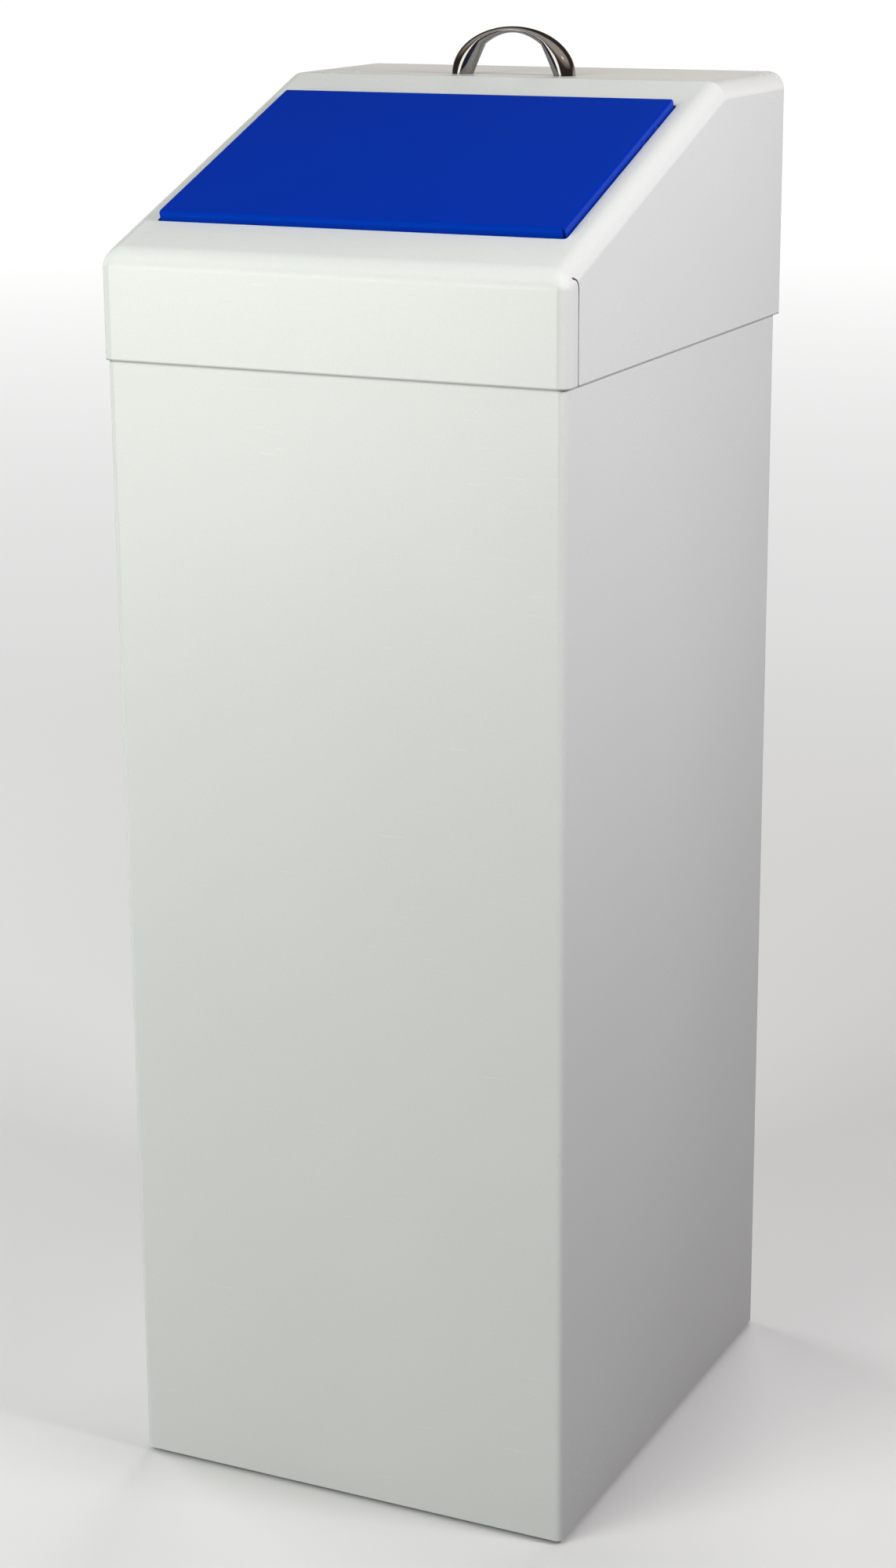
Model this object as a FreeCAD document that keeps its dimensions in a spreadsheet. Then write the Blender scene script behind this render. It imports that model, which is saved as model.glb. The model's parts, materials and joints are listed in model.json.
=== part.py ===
"""Free-standing drop box: a sheet-steel cabinet, a lift-out inner bin and a lift-off hood
with a balanced push flap.

The frame stands on the floor: +Z is up, the front faces -Y and the origin is the middle of
the footprint. The flap and all that turns with it are drawn in the frame of the hood's
slope: x across, y up the slope from the front edge, z out of the sheet.
"""
import FreeCAD, Part
import math
import os

import Sketcher

SIZES = (
    ("overall_height", 790.0, "floor to the top of the hood"),
    ("hood_width", 272.0, "outside width of the hood"),
    ("hood_depth", 315.0, "outside depth of the hood"),
    ("hood_rise", 81.0, "height from the front edge to the flat top"),
    ("front_face", 58.0, "height of the hood's front skirt"),
    ("top_depth", 98.0, "depth of the flat strip behind the slope"),
    ("skirt_overlap", 39.0, "how far the skirt reaches below the cabinet's rim"),
    ("sheet", 1.0, "thickness of the coated steel sheet"),
    ("skirt_gap", 0.8, "clearance between skirt and cabinet"),
    ("hood_bend", 10.0, "bend radius from slope and top to the sides"),
    ("hood_nose", 4.0, "the same bend's radius at the front corner"),
    ("front_bend", 12.0, "bend radius from front to slope"),
    ("ridge_bend", 6.0, "bend radius from slope to top"),
    ("hood_corner", 6.0, "upright front corner of the hood"),
    ("seam_setback", 14.0, "corner flange's length along the side"),
    ("seam_gap", 1.0, "width of the seam beside the corner flange"),
    ("seam_turn", 6.0, "radius at the seam's upper end"),
    ("seam_height", 55.0, "height of the seam above the skirt's edge"),
    ("body_corner", 4.0, "upright corners of the cabinet"),
    ("rim_hem", 12.0, "folded hem at a rim"),
    ("return_flange", 16.0, "cabinet's return flange at the back"),
    ("back_gap", 1.0, "hood's back flange above the cabinet's hem"),
    ("floor_gap", 2.5, "gap below the cabinet's edge"),
    ("base_height", 15.0, "top of the base pan"),
    ("foot_inset", 28.0, "foot centre from the cabinet's sides"),
    ("foot_diameter", 26.0, "rubber foot"),
    ("foot_taper", 2.0, "foot's taper towards its top"),
    ("screw_diameter", 5.0, "screws of the feet and the balance bar"),
    ("screw_clearance", 0.3, "radial clearance of a screw in its hole"),
    ("edge_break", 0.5, "small chamfer on a turned end"),
    ("bin_wall", 0.8, "sheet of the inner bin"),
    ("bin_gap", 6.0, "clearance round the inner bin"),
    ("bin_corner", 10.0, "upright corners of the inner bin"),
    ("bin_hem", 10.0, "folded hem at the inner bin's rim"),
    ("bin_clearance", 11.0, "open flap to the inner bin's rim"),
    ("bin_floor_height", 12.0, "inner bin's floor above its lower edge"),
    ("slot_length", 100.0, "hand slot in the inner bin"),
    ("slot_height", 28.0, "height of the hand slot"),
    ("slot_drop", 45.0, "slot's middle below the bin's rim"),
    ("trim_lip", 4.0, "edging round the hand slot"),
    ("trim_skin", 1.2, "edging's thickness on each face of the wall"),
    ("trim_inside", 1.5, "edging inside the slot's edge"),
    ("rail_leg", 12.0, "seat rail's legs"),
    ("flap_front", 38.5, "slope's front edge to the flap"),
    ("flap_rear", 33.1, "flap to the slope's rear edge"),
    ("flap_side", 17.0, "flap's edge to the hood's side"),
    ("flap_proud", 5.0, "flap's top above the slope"),
    ("flap_depth", 10.0, "depth of the flap's bent edges"),
    ("flap_bend", 3.0, "bend radius of the flap's front and rear edges"),
    ("flap_side_bend", 1.2, "bend radius of the flap's side edges"),
    ("flap_notch", 1.5, "relief notch at the flap's corners"),
    ("flap_gap", 1.0, "gap round the flap"),
    ("stop_lip", 8.0, "flap's lip below the slope"),
    ("stop_play", 0.2, "buffer's clearance with the flap shut"),
    ("buffer_stem", 1.5, "radius of a stop buffer's stem"),
    ("buffer_head", 3.4, "radius of a stop buffer's head"),
    ("pivot_inset", 13.0, "pivot in front of the flap's rear edge"),
    ("pivot_drop", 13.0, "pivot below the flap's top"),
    ("rod_diameter", 6.0, "pivot rod"),
    ("running_gap", 0.05, "radial clearance of the rod in its bushes"),
    ("bush_wall", 1.5, "wall of a bush"),
    ("bush_flange", 1.0, "flange of a bush"),
    ("bush_rim", 1.5, "how far a bush's flange stands out"),
    ("clip_rim", 2.4, "how far a push-on clip stands out of the rod"),
    ("clip_height", 1.4, "height of a push-on clip"),
    ("bush_play", 0.5, "end play beside a bush"),
    ("bracket_sheet", 1.5, "sheet of a pivot bracket"),
    ("bracket_length", 28.0, "bracket's length along the slope"),
    ("bracket_reach", 38.0, "bracket's foot below the pivot"),
    ("bracket_gap", 0.45, "bracket below the slope's sheet"),
    ("arm_sheet", 2.0, "sheet of a balance arm"),
    ("arm_width", 18.0, "width of a balance arm"),
    ("arm_reach", 95.0, "pivot to the balance bar"),
    ("arm_angle", 82.5, "arm's angle below the slope"),
    ("bar_diameter", 24.0, "balance bar"),
    ("bar_screw", 12.0, "length of a balance bar's screw"),
    ("rivet_diameter", 4.0, "rivets of the balance arms"),
    ("rivet_pitch", 18.0, "distance between two rivets"),
    ("handle_pitch", 64.0, "distance between the handle's feet"),
    ("handle_height", 27.0, "height of the bow"),
    ("handle_setback", 19.5, "handle behind the slope's rear edge"),
    ("handle_foot", 12.6, "diameter of a handle's foot"),
    ("handle_screw", 8.0, "length of a handle's screw"),
    ("crown_width", 6.2, "bow's depth at the crown"),
    ("crown_height", 3.5, "bow's thickness at the crown"),
)

BOW_STATIONS = 7
HALF_TURN = 180
FULL_TURN = 360
HEXAGON = (0, 60, 120, 180, 240, 300)

doc = FreeCAD.newDocument("DropBox")


def fill_sheet():
    """Write each driving size into the spreadsheet as a number with an alias."""
    sheet = doc.addObject("Spreadsheet::Sheet", "Sizes")
    for row, (alias, size, meaning) in enumerate(SIZES, start=1):
        sheet.set(f"A{row}", alias)
        sheet.set(f"B{row}", str(size))
        sheet.set(f"C{row}", meaning)
        sheet.setAlias(f"B{row}", alias)
    doc.recompute()
    return sheet


sizes = fill_sheet()


def cell(text):
    """Turn a formula of size names into one that reads the spreadsheet."""
    words = text.replace("(", "( ").replace(")", " )").split()
    names = {alias for alias, _, _ in SIZES}
    return " ".join(f"Sizes.{word}" if word in names else word for word in words)


def number(formula):
    """The present value of a formula, in millimetres or degrees."""
    result = sizes.evalExpression(formula)
    return float(getattr(result, "Value", result))


# Heights and outlines shared by several pieces.
FRONT_EDGE = cell("( overall_height - hood_rise )")
SKIRT = cell("( overall_height - hood_rise - front_face )")
RIM = cell("( overall_height - hood_rise - front_face + skirt_overlap )")
HOOD_X = cell("( hood_width / 2 )")
HOOD_Y = cell("( hood_depth / 2 )")
BODY_X = cell("( hood_width / 2 - sheet - skirt_gap )")
BODY_Y = cell("( hood_depth / 2 - sheet - skirt_gap )")
RIDGE_Y = cell("( hood_depth / 2 - top_depth )")
SHEET = cell("sheet")
THROUGH = cell("( 5 * sheet )")
HEM = cell("rim_hem")
BASE = cell("base_height")
BIN_X = cell("( hood_width / 2 - 3 * sheet - skirt_gap - bin_gap )")
BIN_Y = cell("( hood_depth / 2 - 3 * sheet - skirt_gap - bin_gap )")

# The slope's frame.
SLOPE_ANGLE = cell("atan( hood_rise / ( hood_depth - top_depth ) )")
SLOPE = cell("sqrt( ( hood_depth - top_depth ) ^2 + hood_rise ^2 )")
FLAP_X = cell("( hood_width / 2 - flap_side )")
FLAP_FRONT = cell("flap_front")
FLAP_REAR = f"( {SLOPE} - " + cell("flap_rear )")
FLAP_TOP = cell("flap_proud")
FLAP_EDGE = cell("( flap_proud - flap_depth )")
PIVOT_V = f"( {SLOPE} - " + cell("flap_rear - pivot_inset )")
PIVOT_W = cell("( flap_proud - pivot_drop )")
PIVOT_HEIGHT = f"( {FRONT_EDGE} + {PIVOT_V} * sin({SLOPE_ANGLE}) + {PIVOT_W} * cos({SLOPE_ANGLE}) )"
FLAP_REACH = f"( {PIVOT_V} - " + cell("flap_front + stop_lip )")
BIN_RIM = f"( {PIVOT_HEIGHT} - {FLAP_REACH} - " + cell("bin_clearance )")
ARM_SIN = cell("sin( arm_angle * 1 deg )")
ARM_COS = cell("cos( arm_angle * 1 deg )")
BAR_V = f"( {PIVOT_V} + " + cell("arm_reach * ") + f"{ARM_COS} )"
BAR_W = f"( {PIVOT_W} - " + cell("arm_reach * ") + f"{ARM_SIN} )"
ROD_R = cell("( rod_diameter / 2 )")
BREAK = cell("edge_break")
SCREW_R = cell("( screw_diameter / 2 )")
SCREW_BORE = cell("( screw_diameter / 2 + screw_clearance )")
BORE_R = cell("( rod_diameter / 2 + running_gap )")
BUSH_R = cell("( rod_diameter / 2 + running_gap + bush_wall )")
TAB_X = f"( {FLAP_X} + " + cell("bush_play + bush_flange )")
ARM_X = f"( {FLAP_X} - " + cell("sheet - arm_sheet )")
HANDLE_Y = f"( {RIDGE_Y} + " + cell("handle_setback )")


def plane(body, role):
    """One of the body's own origin planes."""
    return next(item for item in body.Origin.OriginFeatures if item.Role == role)


def new_body(label):
    """An empty body with its label."""
    body = doc.addObject("PartDesign::Body", label)
    body.Label = label
    return body


def place(item, x="0", y="0", z="0"):
    """Bind an object's place to formulas."""
    for axis, formula in zip("xyz", (x, y, z)):
        item.setExpression(f"Placement.Base.{axis}", formula)


def put_on_slope(item):
    """Move an object that is drawn in the slope's frame to the slope."""
    item.Placement = FreeCAD.Placement(FreeCAD.Vector(), FreeCAD.Rotation(FreeCAD.Vector(1, 0, 0), 1))
    place(item, y=f"-{HOOD_Y}", z=FRONT_EDGE)
    item.setExpression("Placement.Rotation.Angle", SLOPE_ANGLE)


def new_sketch(body, role, lift="0"):
    """An empty sketch, lifted off one of the body's origin planes along its normal."""
    sketch = body.newObject("Sketcher::SketchObject", "Outline")
    sketch.AttachmentSupport = [(plane(body, role), "")]
    sketch.MapMode = "FlatFace"
    sketch.setExpression("AttachmentOffset.Base.z", lift)
    return sketch


def fix(sketch, kind, geometry, vertex, formula):
    """Hold one coordinate of a sketch point with a formula."""
    index = sketch.addConstraint(Sketcher.Constraint(kind, -1, 1, geometry, vertex, number(formula)))
    sketch.setExpression(f"Constraints[{index}]", formula)


def outline(body, role, corners, lift="0"):
    """A closed outline of straight sides whose corners are formulas."""
    sketch = new_sketch(body, role, lift)
    points = [FreeCAD.Vector(number(across), number(along), 0) for across, along in corners]
    count = len(points)
    for index in range(count):
        sketch.addGeometry(Part.LineSegment(points[index], points[(index + 1) % count]))
    for index in range(count):
        sketch.addConstraint(Sketcher.Constraint("Coincident", index, 2, (index + 1) % count, 1))
    for index, (across, along) in enumerate(corners):
        fix(sketch, "DistanceX", index, 1, across)
        fix(sketch, "DistanceY", index, 1, along)
    return sketch


def rectangle(body, role, low, high, lift="0"):
    """A rectangular outline between two corners."""
    corners = [(low[0], low[1]), (high[0], low[1]), (high[0], high[1]), (low[0], high[1])]
    return outline(body, role, corners, lift)


def rounded(body, role, low, high, radius, lift="0"):
    """A rectangular outline between two corners with equal round corners."""
    sketch = new_sketch(body, role, lift)
    left, bottom, right, top = (number(formula) for formula in (*low, *high))
    turn = number(radius)
    sides = (((left + turn, bottom), (right - turn, bottom)), ((right, bottom + turn), (right, top - turn)),
             ((right - turn, top), (left + turn, top)), ((left, top - turn), (left, bottom + turn)))
    middles = ((right - turn, bottom + turn), (right - turn, top - turn),
               (left + turn, top - turn), (left + turn, bottom + turn))
    for index, ((start, end), middle) in enumerate(zip(sides, middles)):
        sketch.addGeometry(Part.LineSegment(FreeCAD.Vector(*start, 0), FreeCAD.Vector(*end, 0)))
        circle = Part.Circle(FreeCAD.Vector(*middle, 0), FreeCAD.Vector(0, 0, 1), turn)
        begin = (index - 1) * math.pi / 2
        sketch.addGeometry(Part.ArcOfCircle(circle, begin, begin + math.pi / 2))
    for index in range(8):
        sketch.addConstraint(Sketcher.Constraint("Tangent", index, 2, (index + 1) % 8, 1))
    for index, kind in ((0, "Horizontal"), (2, "Vertical"), (4, "Horizontal"), (6, "Vertical")):
        sketch.addConstraint(Sketcher.Constraint(kind, index))
    for index in (3, 5, 7):
        sketch.addConstraint(Sketcher.Constraint("Equal", 1, index))
    held = sketch.addConstraint(Sketcher.Constraint("Radius", 1, turn))
    sketch.setExpression(f"Constraints[{held}]", radius)
    fix(sketch, "DistanceX", 6, 1, low[0])
    fix(sketch, "DistanceY", 0, 1, low[1])
    fix(sketch, "DistanceX", 2, 1, high[0])
    fix(sketch, "DistanceY", 4, 1, high[1])
    return sketch


def centred(body, role, half_x, half_y, radius, lift="0"):
    """A rounded rectangle round the origin."""
    return rounded(body, role, (f"-{half_x}", f"-{half_y}"), (half_x, half_y), radius, lift)


def circles(body, role, centres, radius, lift="0"):
    """Equal circles whose centres are formulas."""
    sketch = new_sketch(body, role, lift)
    for index, (across, along) in enumerate(centres):
        middle = FreeCAD.Vector(number(across), number(along), 0)
        sketch.addGeometry(Part.Circle(middle, FreeCAD.Vector(0, 0, 1), number(radius)))
        fix(sketch, "DistanceX", index, 3, across)
        fix(sketch, "DistanceY", index, 3, along)
        held = sketch.addConstraint(Sketcher.Constraint("Radius", index, number(radius)))
        sketch.setExpression(f"Constraints[{held}]", radius)
    return sketch


def pad(body, sketch, length, both_ways=False, backwards=False):
    """Raise a sketch into a solid."""
    feature = body.newObject("PartDesign::Pad", "Pad")
    feature.Profile = sketch
    feature.setExpression("Length", length)
    feature.SideType = "Symmetric" if both_ways else "One side"
    feature.Reversed = backwards
    doc.recompute()
    return feature


def pocket(body, sketch, length, both_ways=False, backwards=False):
    """Cut a sketch out of the solid, and check that something was cut."""
    before = body.Shape.Volume
    feature = body.newObject("PartDesign::Pocket", "Pocket")
    feature.Profile = sketch
    feature.setExpression("Length", length)
    feature.SideType = "Symmetric" if both_ways else "One side"
    feature.Reversed = backwards
    doc.recompute()
    if body.Shape.Volume >= before:
        raise RuntimeError(f"{body.Label}: a pocket cuts nothing")
    return feature


def revolve(body, sketch):
    """Turn a sketch once round its upright axis."""
    feature = body.newObject("PartDesign::Revolution", "Revolution")
    feature.Profile = sketch
    feature.ReferenceAxis = (sketch, ["V_Axis"])
    feature.Angle = FULL_TURN
    doc.recompute()
    return feature


def ends(edge):
    """Both ends of an edge."""
    return edge.Vertexes[0].Point, edge.Vertexes[-1].Point


def upright(edge):
    """True for a straight edge along the body's own z."""
    low, high = ends(edge)
    return len(edge.Vertexes) == 2 and abs((high - low).normalize().z) > 0.999


def across(edge):
    """True for a straight edge along x."""
    low, high = ends(edge)
    return len(edge.Vertexes) == 2 and abs((high - low).normalize().x) > 0.999


def near(first, second):
    """True when two lengths are the same."""
    return abs(first - second) < 1e-4


def fillet(body, radius, chosen):
    """Round the edges of the body's last feature that a test picks."""
    base = body.Tip
    picked = [f"Edge{i}" for i, edge in enumerate(base.Shape.Edges, start=1) if chosen(edge)]
    if not picked:
        raise RuntimeError(f"{body.Label}: no edge to round")
    feature = body.newObject("PartDesign::Fillet", "Fillet")
    feature.Base = (base, picked)
    feature.setExpression("Radius", radius)
    doc.recompute()
    return feature


def turned(label, profile):
    """A turned piece: its profile is radius and height, and its axis is the body's z."""
    body = new_body(label)
    revolve(body, outline(body, "XZ_Plane", profile))
    return body


def cut(label, base, *tools):
    """A piece with other shapes taken out of it."""
    for tool in tools:
        whole = doc.addObject("Part::Cut", f"{label}_step")
        whole.Base = base
        whole.Tool = tool
        base = whole
    base.Label = label
    doc.recompute()
    return base


def group(label, pieces):
    """Equal fasteners that share one sub-part."""
    fasteners = doc.addObject("Part::Compound", label)
    fasteners.Links = pieces
    fasteners.Label = label
    doc.recompute()
    return fasteners


def on_slope_across(item, side, x, v, w):
    """Place a turned piece across the slope's frame at x, v up the slope and w out of it."""
    tilt = FreeCAD.Rotation(FreeCAD.Vector(1, 0, 0), number(SLOPE_ANGLE))
    across = FreeCAD.Rotation(FreeCAD.Vector(0, 1, 0), 90 * side)
    item.Placement = FreeCAD.Placement(FreeCAD.Vector(), tilt.multiply(across))
    y = f"-{HOOD_Y} + {v} * cos({SLOPE_ANGLE}) - {w} * sin({SLOPE_ANGLE})"
    z = f"{FRONT_EDGE} + {v} * sin({SLOPE_ANGLE}) + {w} * cos({SLOPE_ANGLE})"
    place(item, x=f"{side} * {x}", y=y, z=z)
    return item


def side_name(side):
    """The word for a side: +x is right."""
    return "right" if side > 0 else "left"


# ---------------------------------------------------------------- cabinet


def cabinet_wrap():
    """Front and two sides in one folded sheet, hemmed at the rim, with return flanges."""
    body = new_body("cabinet_wrap")
    bottom = cell("floor_gap")
    corner = cell("body_corner")
    inner_x = f"( {BODY_X} - {SHEET} )"
    inner_y = f"( {BODY_Y} - {SHEET} )"
    mouth_x = f"( {BODY_X} - 2 * {SHEET} )"
    mouth_y = f"( {BODY_Y} - 2 * {SHEET} )"
    pad(body, centred(body, "XY_Plane", BODY_X, BODY_Y, corner, bottom), f"{RIM} - {bottom}")
    room = centred(body, "XY_Plane", inner_x, inner_y, f"( {corner} - {SHEET} )", bottom)
    pocket(body, room, f"{RIM} - {HEM} - {bottom}", backwards=True)
    mouth = centred(body, "XY_Plane", mouth_x, mouth_y, f"( {corner} - 2 * {SHEET} )", RIM)
    pocket(body, mouth, f"{HEM} + {SHEET}")
    strip_x = f"( {BODY_X} - {corner} )"
    gap_x = f"( {BODY_X} - " + cell("return_flange )")
    strip_y = f"( {mouth_y} - {corner} )"
    strip = rectangle(body, "XY_Plane", (f"-{inner_x}", strip_y), (inner_x, mouth_y), RIM)
    pocket(body, strip, HEM)
    ledge = rectangle(body, "XY_Plane", (f"-{strip_x}", mouth_y), (strip_x, inner_y), RIM)
    pocket(body, ledge, HEM)
    gap = rectangle(body, "XY_Plane", (f"-{gap_x}", mouth_y), (gap_x, f"( {BODY_Y} + 1 )"), RIM)
    pocket(body, gap, RIM)
    return body


def cabinet_back():
    """Flat panel inside the return flanges, with a hem at the rim."""
    body = new_body("cabinet_back")
    bottom = cell("floor_gap")
    half = f"( {BODY_X} - " + cell("body_corner )")
    hem = f"( {half} - {SHEET} )"
    outer = f"( {BODY_Y} - {SHEET} )"
    inner = f"( {BODY_Y} - 2 * {SHEET} )"
    plate = rectangle(body, "XY_Plane", (f"-{half}", inner), (half, outer), bottom)
    pad(body, plate, f"{RIM} - {bottom}")
    fold = rectangle(body, "XY_Plane", (f"-{hem}", f"{inner} - {SHEET}"), (hem, inner), f"{RIM} - {HEM}")
    pad(body, fold, HEM)
    return body


def foot_centres():
    """The four feet: name and place."""
    x = f"( {BODY_X} - " + cell("foot_inset )")
    y = f"( {BODY_Y} - " + cell("foot_inset )")
    for end, sign in (("front", -1), ("rear", 1)):
        for side in (-1, 1):
            yield f"{end}_{side_name(side)}", f"{side} * {x}", f"{sign} * {y}"


def base_pan():
    """Tray turned upside down between the cabinet's walls; the bin stands on it."""
    body = new_body("base_pan")
    bottom = cell("floor_gap")
    half = f"( {BODY_X} - {SHEET} )"
    front = f"( {BODY_Y} - {SHEET} )"
    rear = f"( {BODY_Y} - 2 * {SHEET} )"
    corner = cell("body_corner")
    outer = rounded(body, "XY_Plane", (f"-{half}", f"-{front}"), (half, rear), corner, bottom)
    pad(body, outer, f"{BASE} - {bottom}")
    room = rounded(body, "XY_Plane", (f"( {SHEET} - {half} )", f"( {SHEET} - {front} )"),
                   (f"( {half} - {SHEET} )", f"( {rear} - {SHEET} )"), f"( {corner} - {SHEET} )", bottom)
    pocket(body, room, f"{BASE} - {SHEET} - {bottom}", backwards=True)
    holes = circles(body, "XY_Plane", [(x, y) for _, x, y in foot_centres()], SCREW_BORE, BASE)
    pocket(body, holes, f"2 * {SHEET}")
    return body


def feet():
    """Rubber feet with a recess for the screw's head."""
    top = f"( {BASE} - {SHEET} )"
    outer = cell("( foot_diameter / 2 )")
    recess = cell("( screw_diameter + screw_clearance )")
    seat = f"( {top} / 2 )"
    taper = cell("foot_taper")
    profile = [(SCREW_BORE, top), (SCREW_BORE, seat), (recess, seat), (recess, "0"), (outer, "0"),
               (f"{outer} - {taper}", top)]
    for name, x, y in foot_centres():
        place(turned(f"foot_{name}", profile), x, y)


def screw_profile(radius, length):
    """Round-headed screw pointing up, with its head's underside at the origin."""
    head_radius = f"( {radius} * 1.9 )"
    head = f"( {radius} * 1.1 )"
    return [("0", f"-{head}"), (f"{head_radius} * 0.7", f"-{head}"), (head_radius, f"-{head} * 0.5"),
            (head_radius, "0"), (radius, "0"), (radius, f"{length} - {BREAK}"),
            (f"{radius} - {BREAK}", length), ("0", length)]


def hexagon_nut(label, x, y, z, bore):
    """Hexagon nut standing on its lower face."""
    body = new_body(label)
    across = f"( {bore} * 1.6 )"
    corner = f"( {across} / cos(30 deg) )"
    corners = [(f"{corner} * cos({angle} deg)", f"{corner} * sin({angle} deg)") for angle in HEXAGON]
    pad(body, outline(body, "XY_Plane", corners), f"{bore} * 1.6")
    pocket(body, circles(body, "XY_Plane", [("0", "0")], bore), f"{bore} * 2", backwards=True)
    place(body, x, y, z)
    return body


def foot_fasteners():
    """Screws up through the feet and the pan, and their nuts."""
    seat = f"( ( {BASE} - {SHEET} ) / 2 )"
    length = f"( {BASE} - {seat} + {SCREW_R} * 1.8 )"
    bore = f"( {SCREW_R} + " + cell("running_gap )")
    screws = []
    nuts = []
    for name, x, y in foot_centres():
        screw = turned(f"foot_screw_{name}", screw_profile(SCREW_R, length))
        place(screw, x, y, seat)
        screws.append(screw)
        nuts.append(hexagon_nut(f"foot_nut_{name}", x, y, BASE, bore))
    group("foot_screws", screws)
    group("foot_nuts", nuts)


# ---------------------------------------------------------------- inner bin


def slot_outline(body, grow="0", lift="0"):
    """The hand slot's outline, wider all round by a formula."""
    middle = f"( {BIN_RIM} - " + cell("slot_drop )")
    across = cell("( slot_length / 2 + ") + f"{grow} )"
    up = cell("( slot_height / 2 + ") + f"{grow} )"
    low = (f"-{across}", f"( {middle} - {up} )")
    high = (across, f"( {middle} + {up} )")
    return rounded(body, "YZ_Plane", low, high, f"( {up} - 0.01 )", lift)


def bin_wrap():
    """Four walls of the inner bin, hemmed at the rim, with a hand slot in each side."""
    body = new_body("bin_wrap")
    wall = cell("bin_wall")
    corner = cell("bin_corner")
    hem = cell("bin_hem")
    pad(body, centred(body, "XY_Plane", BIN_X, BIN_Y, corner, BASE), f"{BIN_RIM} - {BASE}")
    for layers, lift, depth, up in ((1, BASE, f"{BIN_RIM} - {hem} - {BASE}", True),
                                    (2, BIN_RIM, f"{hem} + 1", False)):
        inset = f"{layers} * {wall}"
        room = centred(body, "XY_Plane", f"( {BIN_X} - {inset} )", f"( {BIN_Y} - {inset} )",
                       f"( {corner} - {inset} )", lift)
        pocket(body, room, depth, backwards=up)
    pocket(body, slot_outline(body), f"{BIN_X} * 4", both_ways=True)
    return body


def bin_floor():
    """Floor of the inner bin: a tray with its edges turned down."""
    body = new_body("bin_floor")
    wall = cell("bin_wall")
    height = cell("bin_floor_height")
    x = f"( {BIN_X} - {wall} )"
    y = f"( {BIN_Y} - {wall} )"
    corner = cell("bin_corner")
    pad(body, centred(body, "XY_Plane", x, y, corner, BASE), height)
    room = centred(body, "XY_Plane", f"( {x} - {wall} )", f"( {y} - {wall} )", f"( {corner} - {wall} )",
                   BASE)
    pocket(body, room, f"{height} - {wall}", backwards=True)
    return body


def grip_trim(side):
    """Edging clipped into a hand slot, with a lip on both faces of the wall."""
    name = f"grip_trim_{side_name(side)}"
    wall = cell("bin_wall")
    middle = f"( {side} * ( {BIN_X} - {wall} / 2 ) )"
    thick = f"( {wall} + 2 * " + cell("trim_skin )")
    inside = cell("( 0 - trim_inside )")
    blank = new_body(f"{name}_blank")
    pad(blank, slot_outline(blank, cell("trim_lip"), middle), thick, both_ways=True)
    pocket(blank, slot_outline(blank, inside, middle), f"2 * {thick}", both_ways=True)
    groove = new_body(f"{name}_groove")
    pad(groove, slot_outline(groove, cell("( trim_lip + 1 )"), middle), wall, both_ways=True)
    pocket(groove, slot_outline(groove, cell("( 0 - running_gap )"), middle), f"2 * {wall}", both_ways=True)
    return cut(name, blank, groove)


# ---------------------------------------------------------------- hood


def hood_form(label, inset, below, behind):
    """The hood's outer or inner form: its side outline padded across and rounded at the bends."""
    body = new_body(label)
    half = cell("tan( 0.5 * ") + f"{SLOPE_ANGLE} )"
    front = f"( -{HOOD_Y} + {inset} )"
    edge = f"( {FRONT_EDGE} - {inset} * ( 1 - sin({SLOPE_ANGLE}) ) / cos({SLOPE_ANGLE}) )"
    ridge = f"( {RIDGE_Y} + {inset} * {half} )"
    top = "( " + cell("overall_height") + f" - {inset} )"
    rear = f"( {HOOD_Y} + {behind} )"
    low = f"( {SKIRT} - {below} )"
    side = outline(body, "YZ_Plane", [(front, low), (front, edge), (ridge, top), (rear, top), (rear, low)])
    pad(body, side, f"2 * ( {HOOD_X} - {inset} )", both_ways=True)
    front_y = number(front)
    ridge_y = number(ridge)
    fillet(body, cell("ridge_bend") + f" + {inset}",
           lambda edge: across(edge) and near(edge.CenterOfMass.y, ridge_y))

    side_bend = number(cell("hood_bend") + f" - {inset}")
    nose = number(cell("hood_nose") + f" - {inset}")
    front_bend = number(cell("front_bend") + f" - {inset}")
    corner = number(cell("hood_corner") + f" - {inset}")
    above_skirt = number(edge) - side_bend
    chosen = []
    for index, line in enumerate(body.Shape.Edges, start=1):
        middle = line.CenterOfMass
        if upright(line) and near(middle.y, front_y):
            chosen.append((index, corner, corner))
        elif across(line) and near(middle.y, front_y) and middle.z > above_skirt:
            chosen.append((index, front_bend, front_bend))
        elif near(line.BoundBox.XLength, 0) and line.BoundBox.ZMin > above_skirt and not upright(line):
            first, last = (nose if near(end.y, front_y) else side_bend for end in ends(line))
            chosen.append((index, first, last))
    form = doc.addObject("Part::Fillet", f"{label}_form")
    form.Base = body
    form.Edges = chosen
    doc.recompute()
    return form


def slope_opening():
    """The block that the flap's opening takes out of the slope."""
    body = new_body("slope_opening")
    gap = cell("flap_gap")
    low = (f"-{FLAP_X} - {gap}", f"{FLAP_FRONT} - {gap}")
    high = (f"{FLAP_X} + {gap}", f"{FLAP_REAR} + {gap}")
    window = rounded(body, "XY_Plane", low, high, cell("flap_gap * 2"), f"-{THROUGH}")
    pad(body, window, f"2 * {THROUGH}")
    put_on_slope(body)
    return body


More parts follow.
